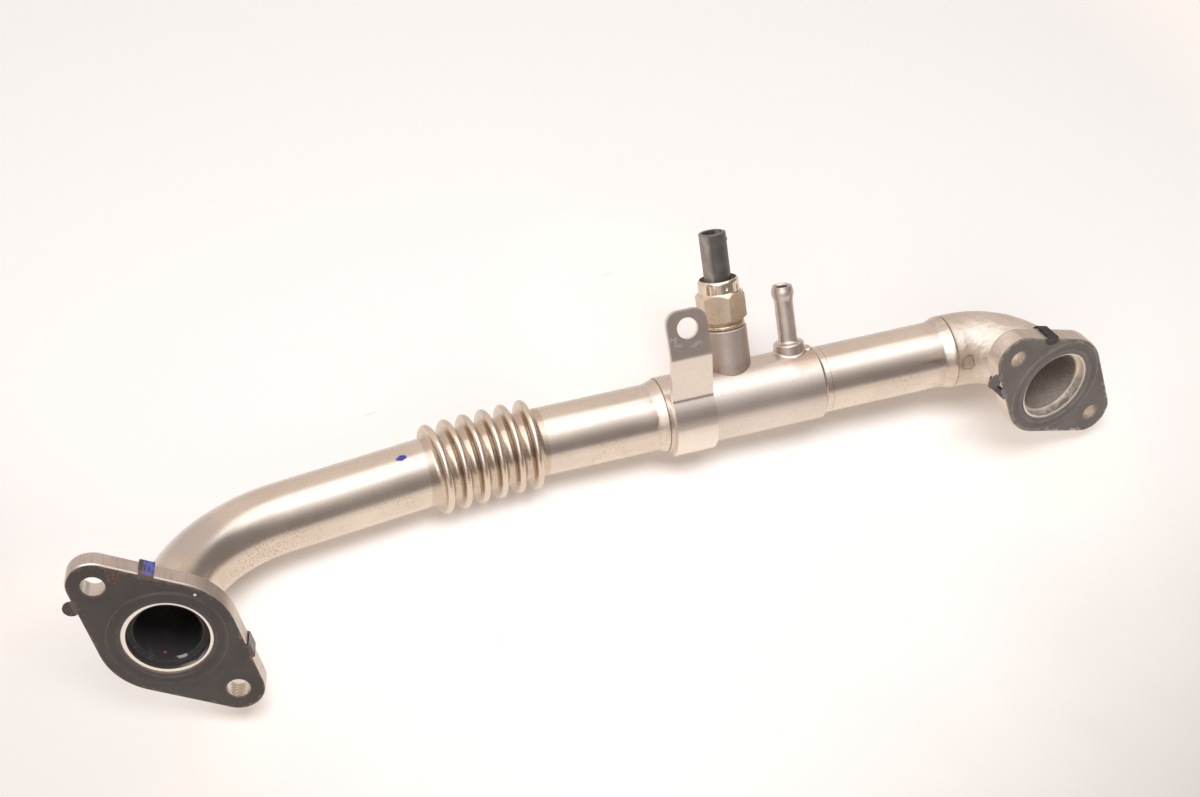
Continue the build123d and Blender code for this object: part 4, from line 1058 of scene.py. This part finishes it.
def elbow_bead(turn):
    lump = max(0.0, cos(turn - 0.6)) ** 18
    width = 5.0 + 0.6 * ripple(turn, 1.8, 1.0) + 0.25 * ripple(turn, 7.0, 2.0) + 0.7 * lump
    crown = 1.20 + 0.08 * ripple(turn, 2.5, 4.0) + 0.05 * ripple(turn, 9.0, 6.0) + 0.3 * lump
    points = [(0.1, SUNK)]
    for step in range(13):
        part = step / 12
        rise = (3.0 * part * part - 2.0 * part ** 3) ** (1.0 - 0.5 * lump)
        points.append((-width * (1 - part) - 0.15, SUNK + (crown + 0.04) * rise))
    points.append((0.1, TUBE + crown - 0.35))
    return points


bead = run_band("elbow_weld_run", round_run(elbow_start), elbow_bead, 200, weld_skin)
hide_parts("elbow_weld")

# %% [markdown]
# Round the nipple's boss a thin bright line of braze follows the saddle where the boss meets the
# housing. The saddle's height is that of the round housing under each point, so the band dips at
# the two sides. A small drop ran out beside it.

# %% Braze round the nipple's boss
across_way = long_run.cross(fitting_out)
BOSS = 5.88


def on_saddle(turn, height, radius):
    sideways = radius * sin(turn)
    top = sqrt(HOUSING * HOUSING - sideways * sideways)
    on_axis = nipple_base + long_run * (radius * cos(turn))
    return on_axis + across_way * sideways + fitting_out * (top + height)


def saddle_fillet(turn):
    reach = 0.85 + 0.25 * ripple(turn, 2.0, 7.0)
    middle = (reach * 0.35, reach * 0.3)
    slope = ((0.02, 0.0), (reach * 0.8, 0.0), middle, (0.04, reach), (0.0, reach))
    return [(height, BOSS + out) for height, out in slope]


seam = run_band("nipple_boss_braze_run", on_saddle, saddle_fillet, 120, run_braze)

drop_centre = Vector((255.6, 63.6, -3.3))
drop_up = Vector((-0.03, 0.52, 0.85))
drop_side = Vector((0.0, 0.85, -0.52))


def drop_place(turn, height, radius):
    lengthwise = drop_centre + long_run * (radius * 1.35 * cos(turn))
    return lengthwise + drop_side * (radius * sin(turn)) + drop_up * height


def drop_profile(turn):
    bulge = 1.0 + 0.2 * ripple(turn, 1.5, 12.0)
    foot = [(-0.35, 0.02), (-0.35, 1.2 * bulge), (0.05, 1.35 * bulge)]
    return [*foot, (0.42, bulge), (0.66, 0.5), (0.72, 0.02)]


drop = run_band("braze_drop", drop_place, drop_profile, 40, run_braze)

# %% [markdown]
# Each carried-over piece now gets its finish in its material slot. Its shape isn't touched.

# %% Finishes onto the solid model's pieces
finishes = {
    "inlet_tube": inlet_steel, "outlet_tube": outlet_steel, "inlet_flange": flange_plate,
    "inlet_gasket": inlet_coat, "outlet_gasket": outlet_coat, "outlet_elbow": cast_steel,
    "sensor_housing": housing_steel, "sensor_boss": boss_steel, "sealing_washer": washer_gold,
    "sensor_body": sensor_plating, "sensor_probe": probe_steel, "thermistor": glass.material,
    "connector_seal": seal_rubber, "sensor_connector": plastic,
    "terminal_left": blade_tin, "terminal_right": blade_tin, "nipple_boss": nipple_steel,
    "hose_nipple": nipple_steel, "nipple_braze": run_braze, "bracket": bracket_sheet,
    "inlet_weld": sooty_weld, "inlet_braze": run_braze, "housing_braze_inlet": run_braze,
    "housing_braze_outlet": run_braze, "elbow_weld": weld_skin,
}
for name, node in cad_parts.items():
    node.data.materials.clear()
    node.data.materials.append(finishes[name])
print(len(finishes), "pieces finished")
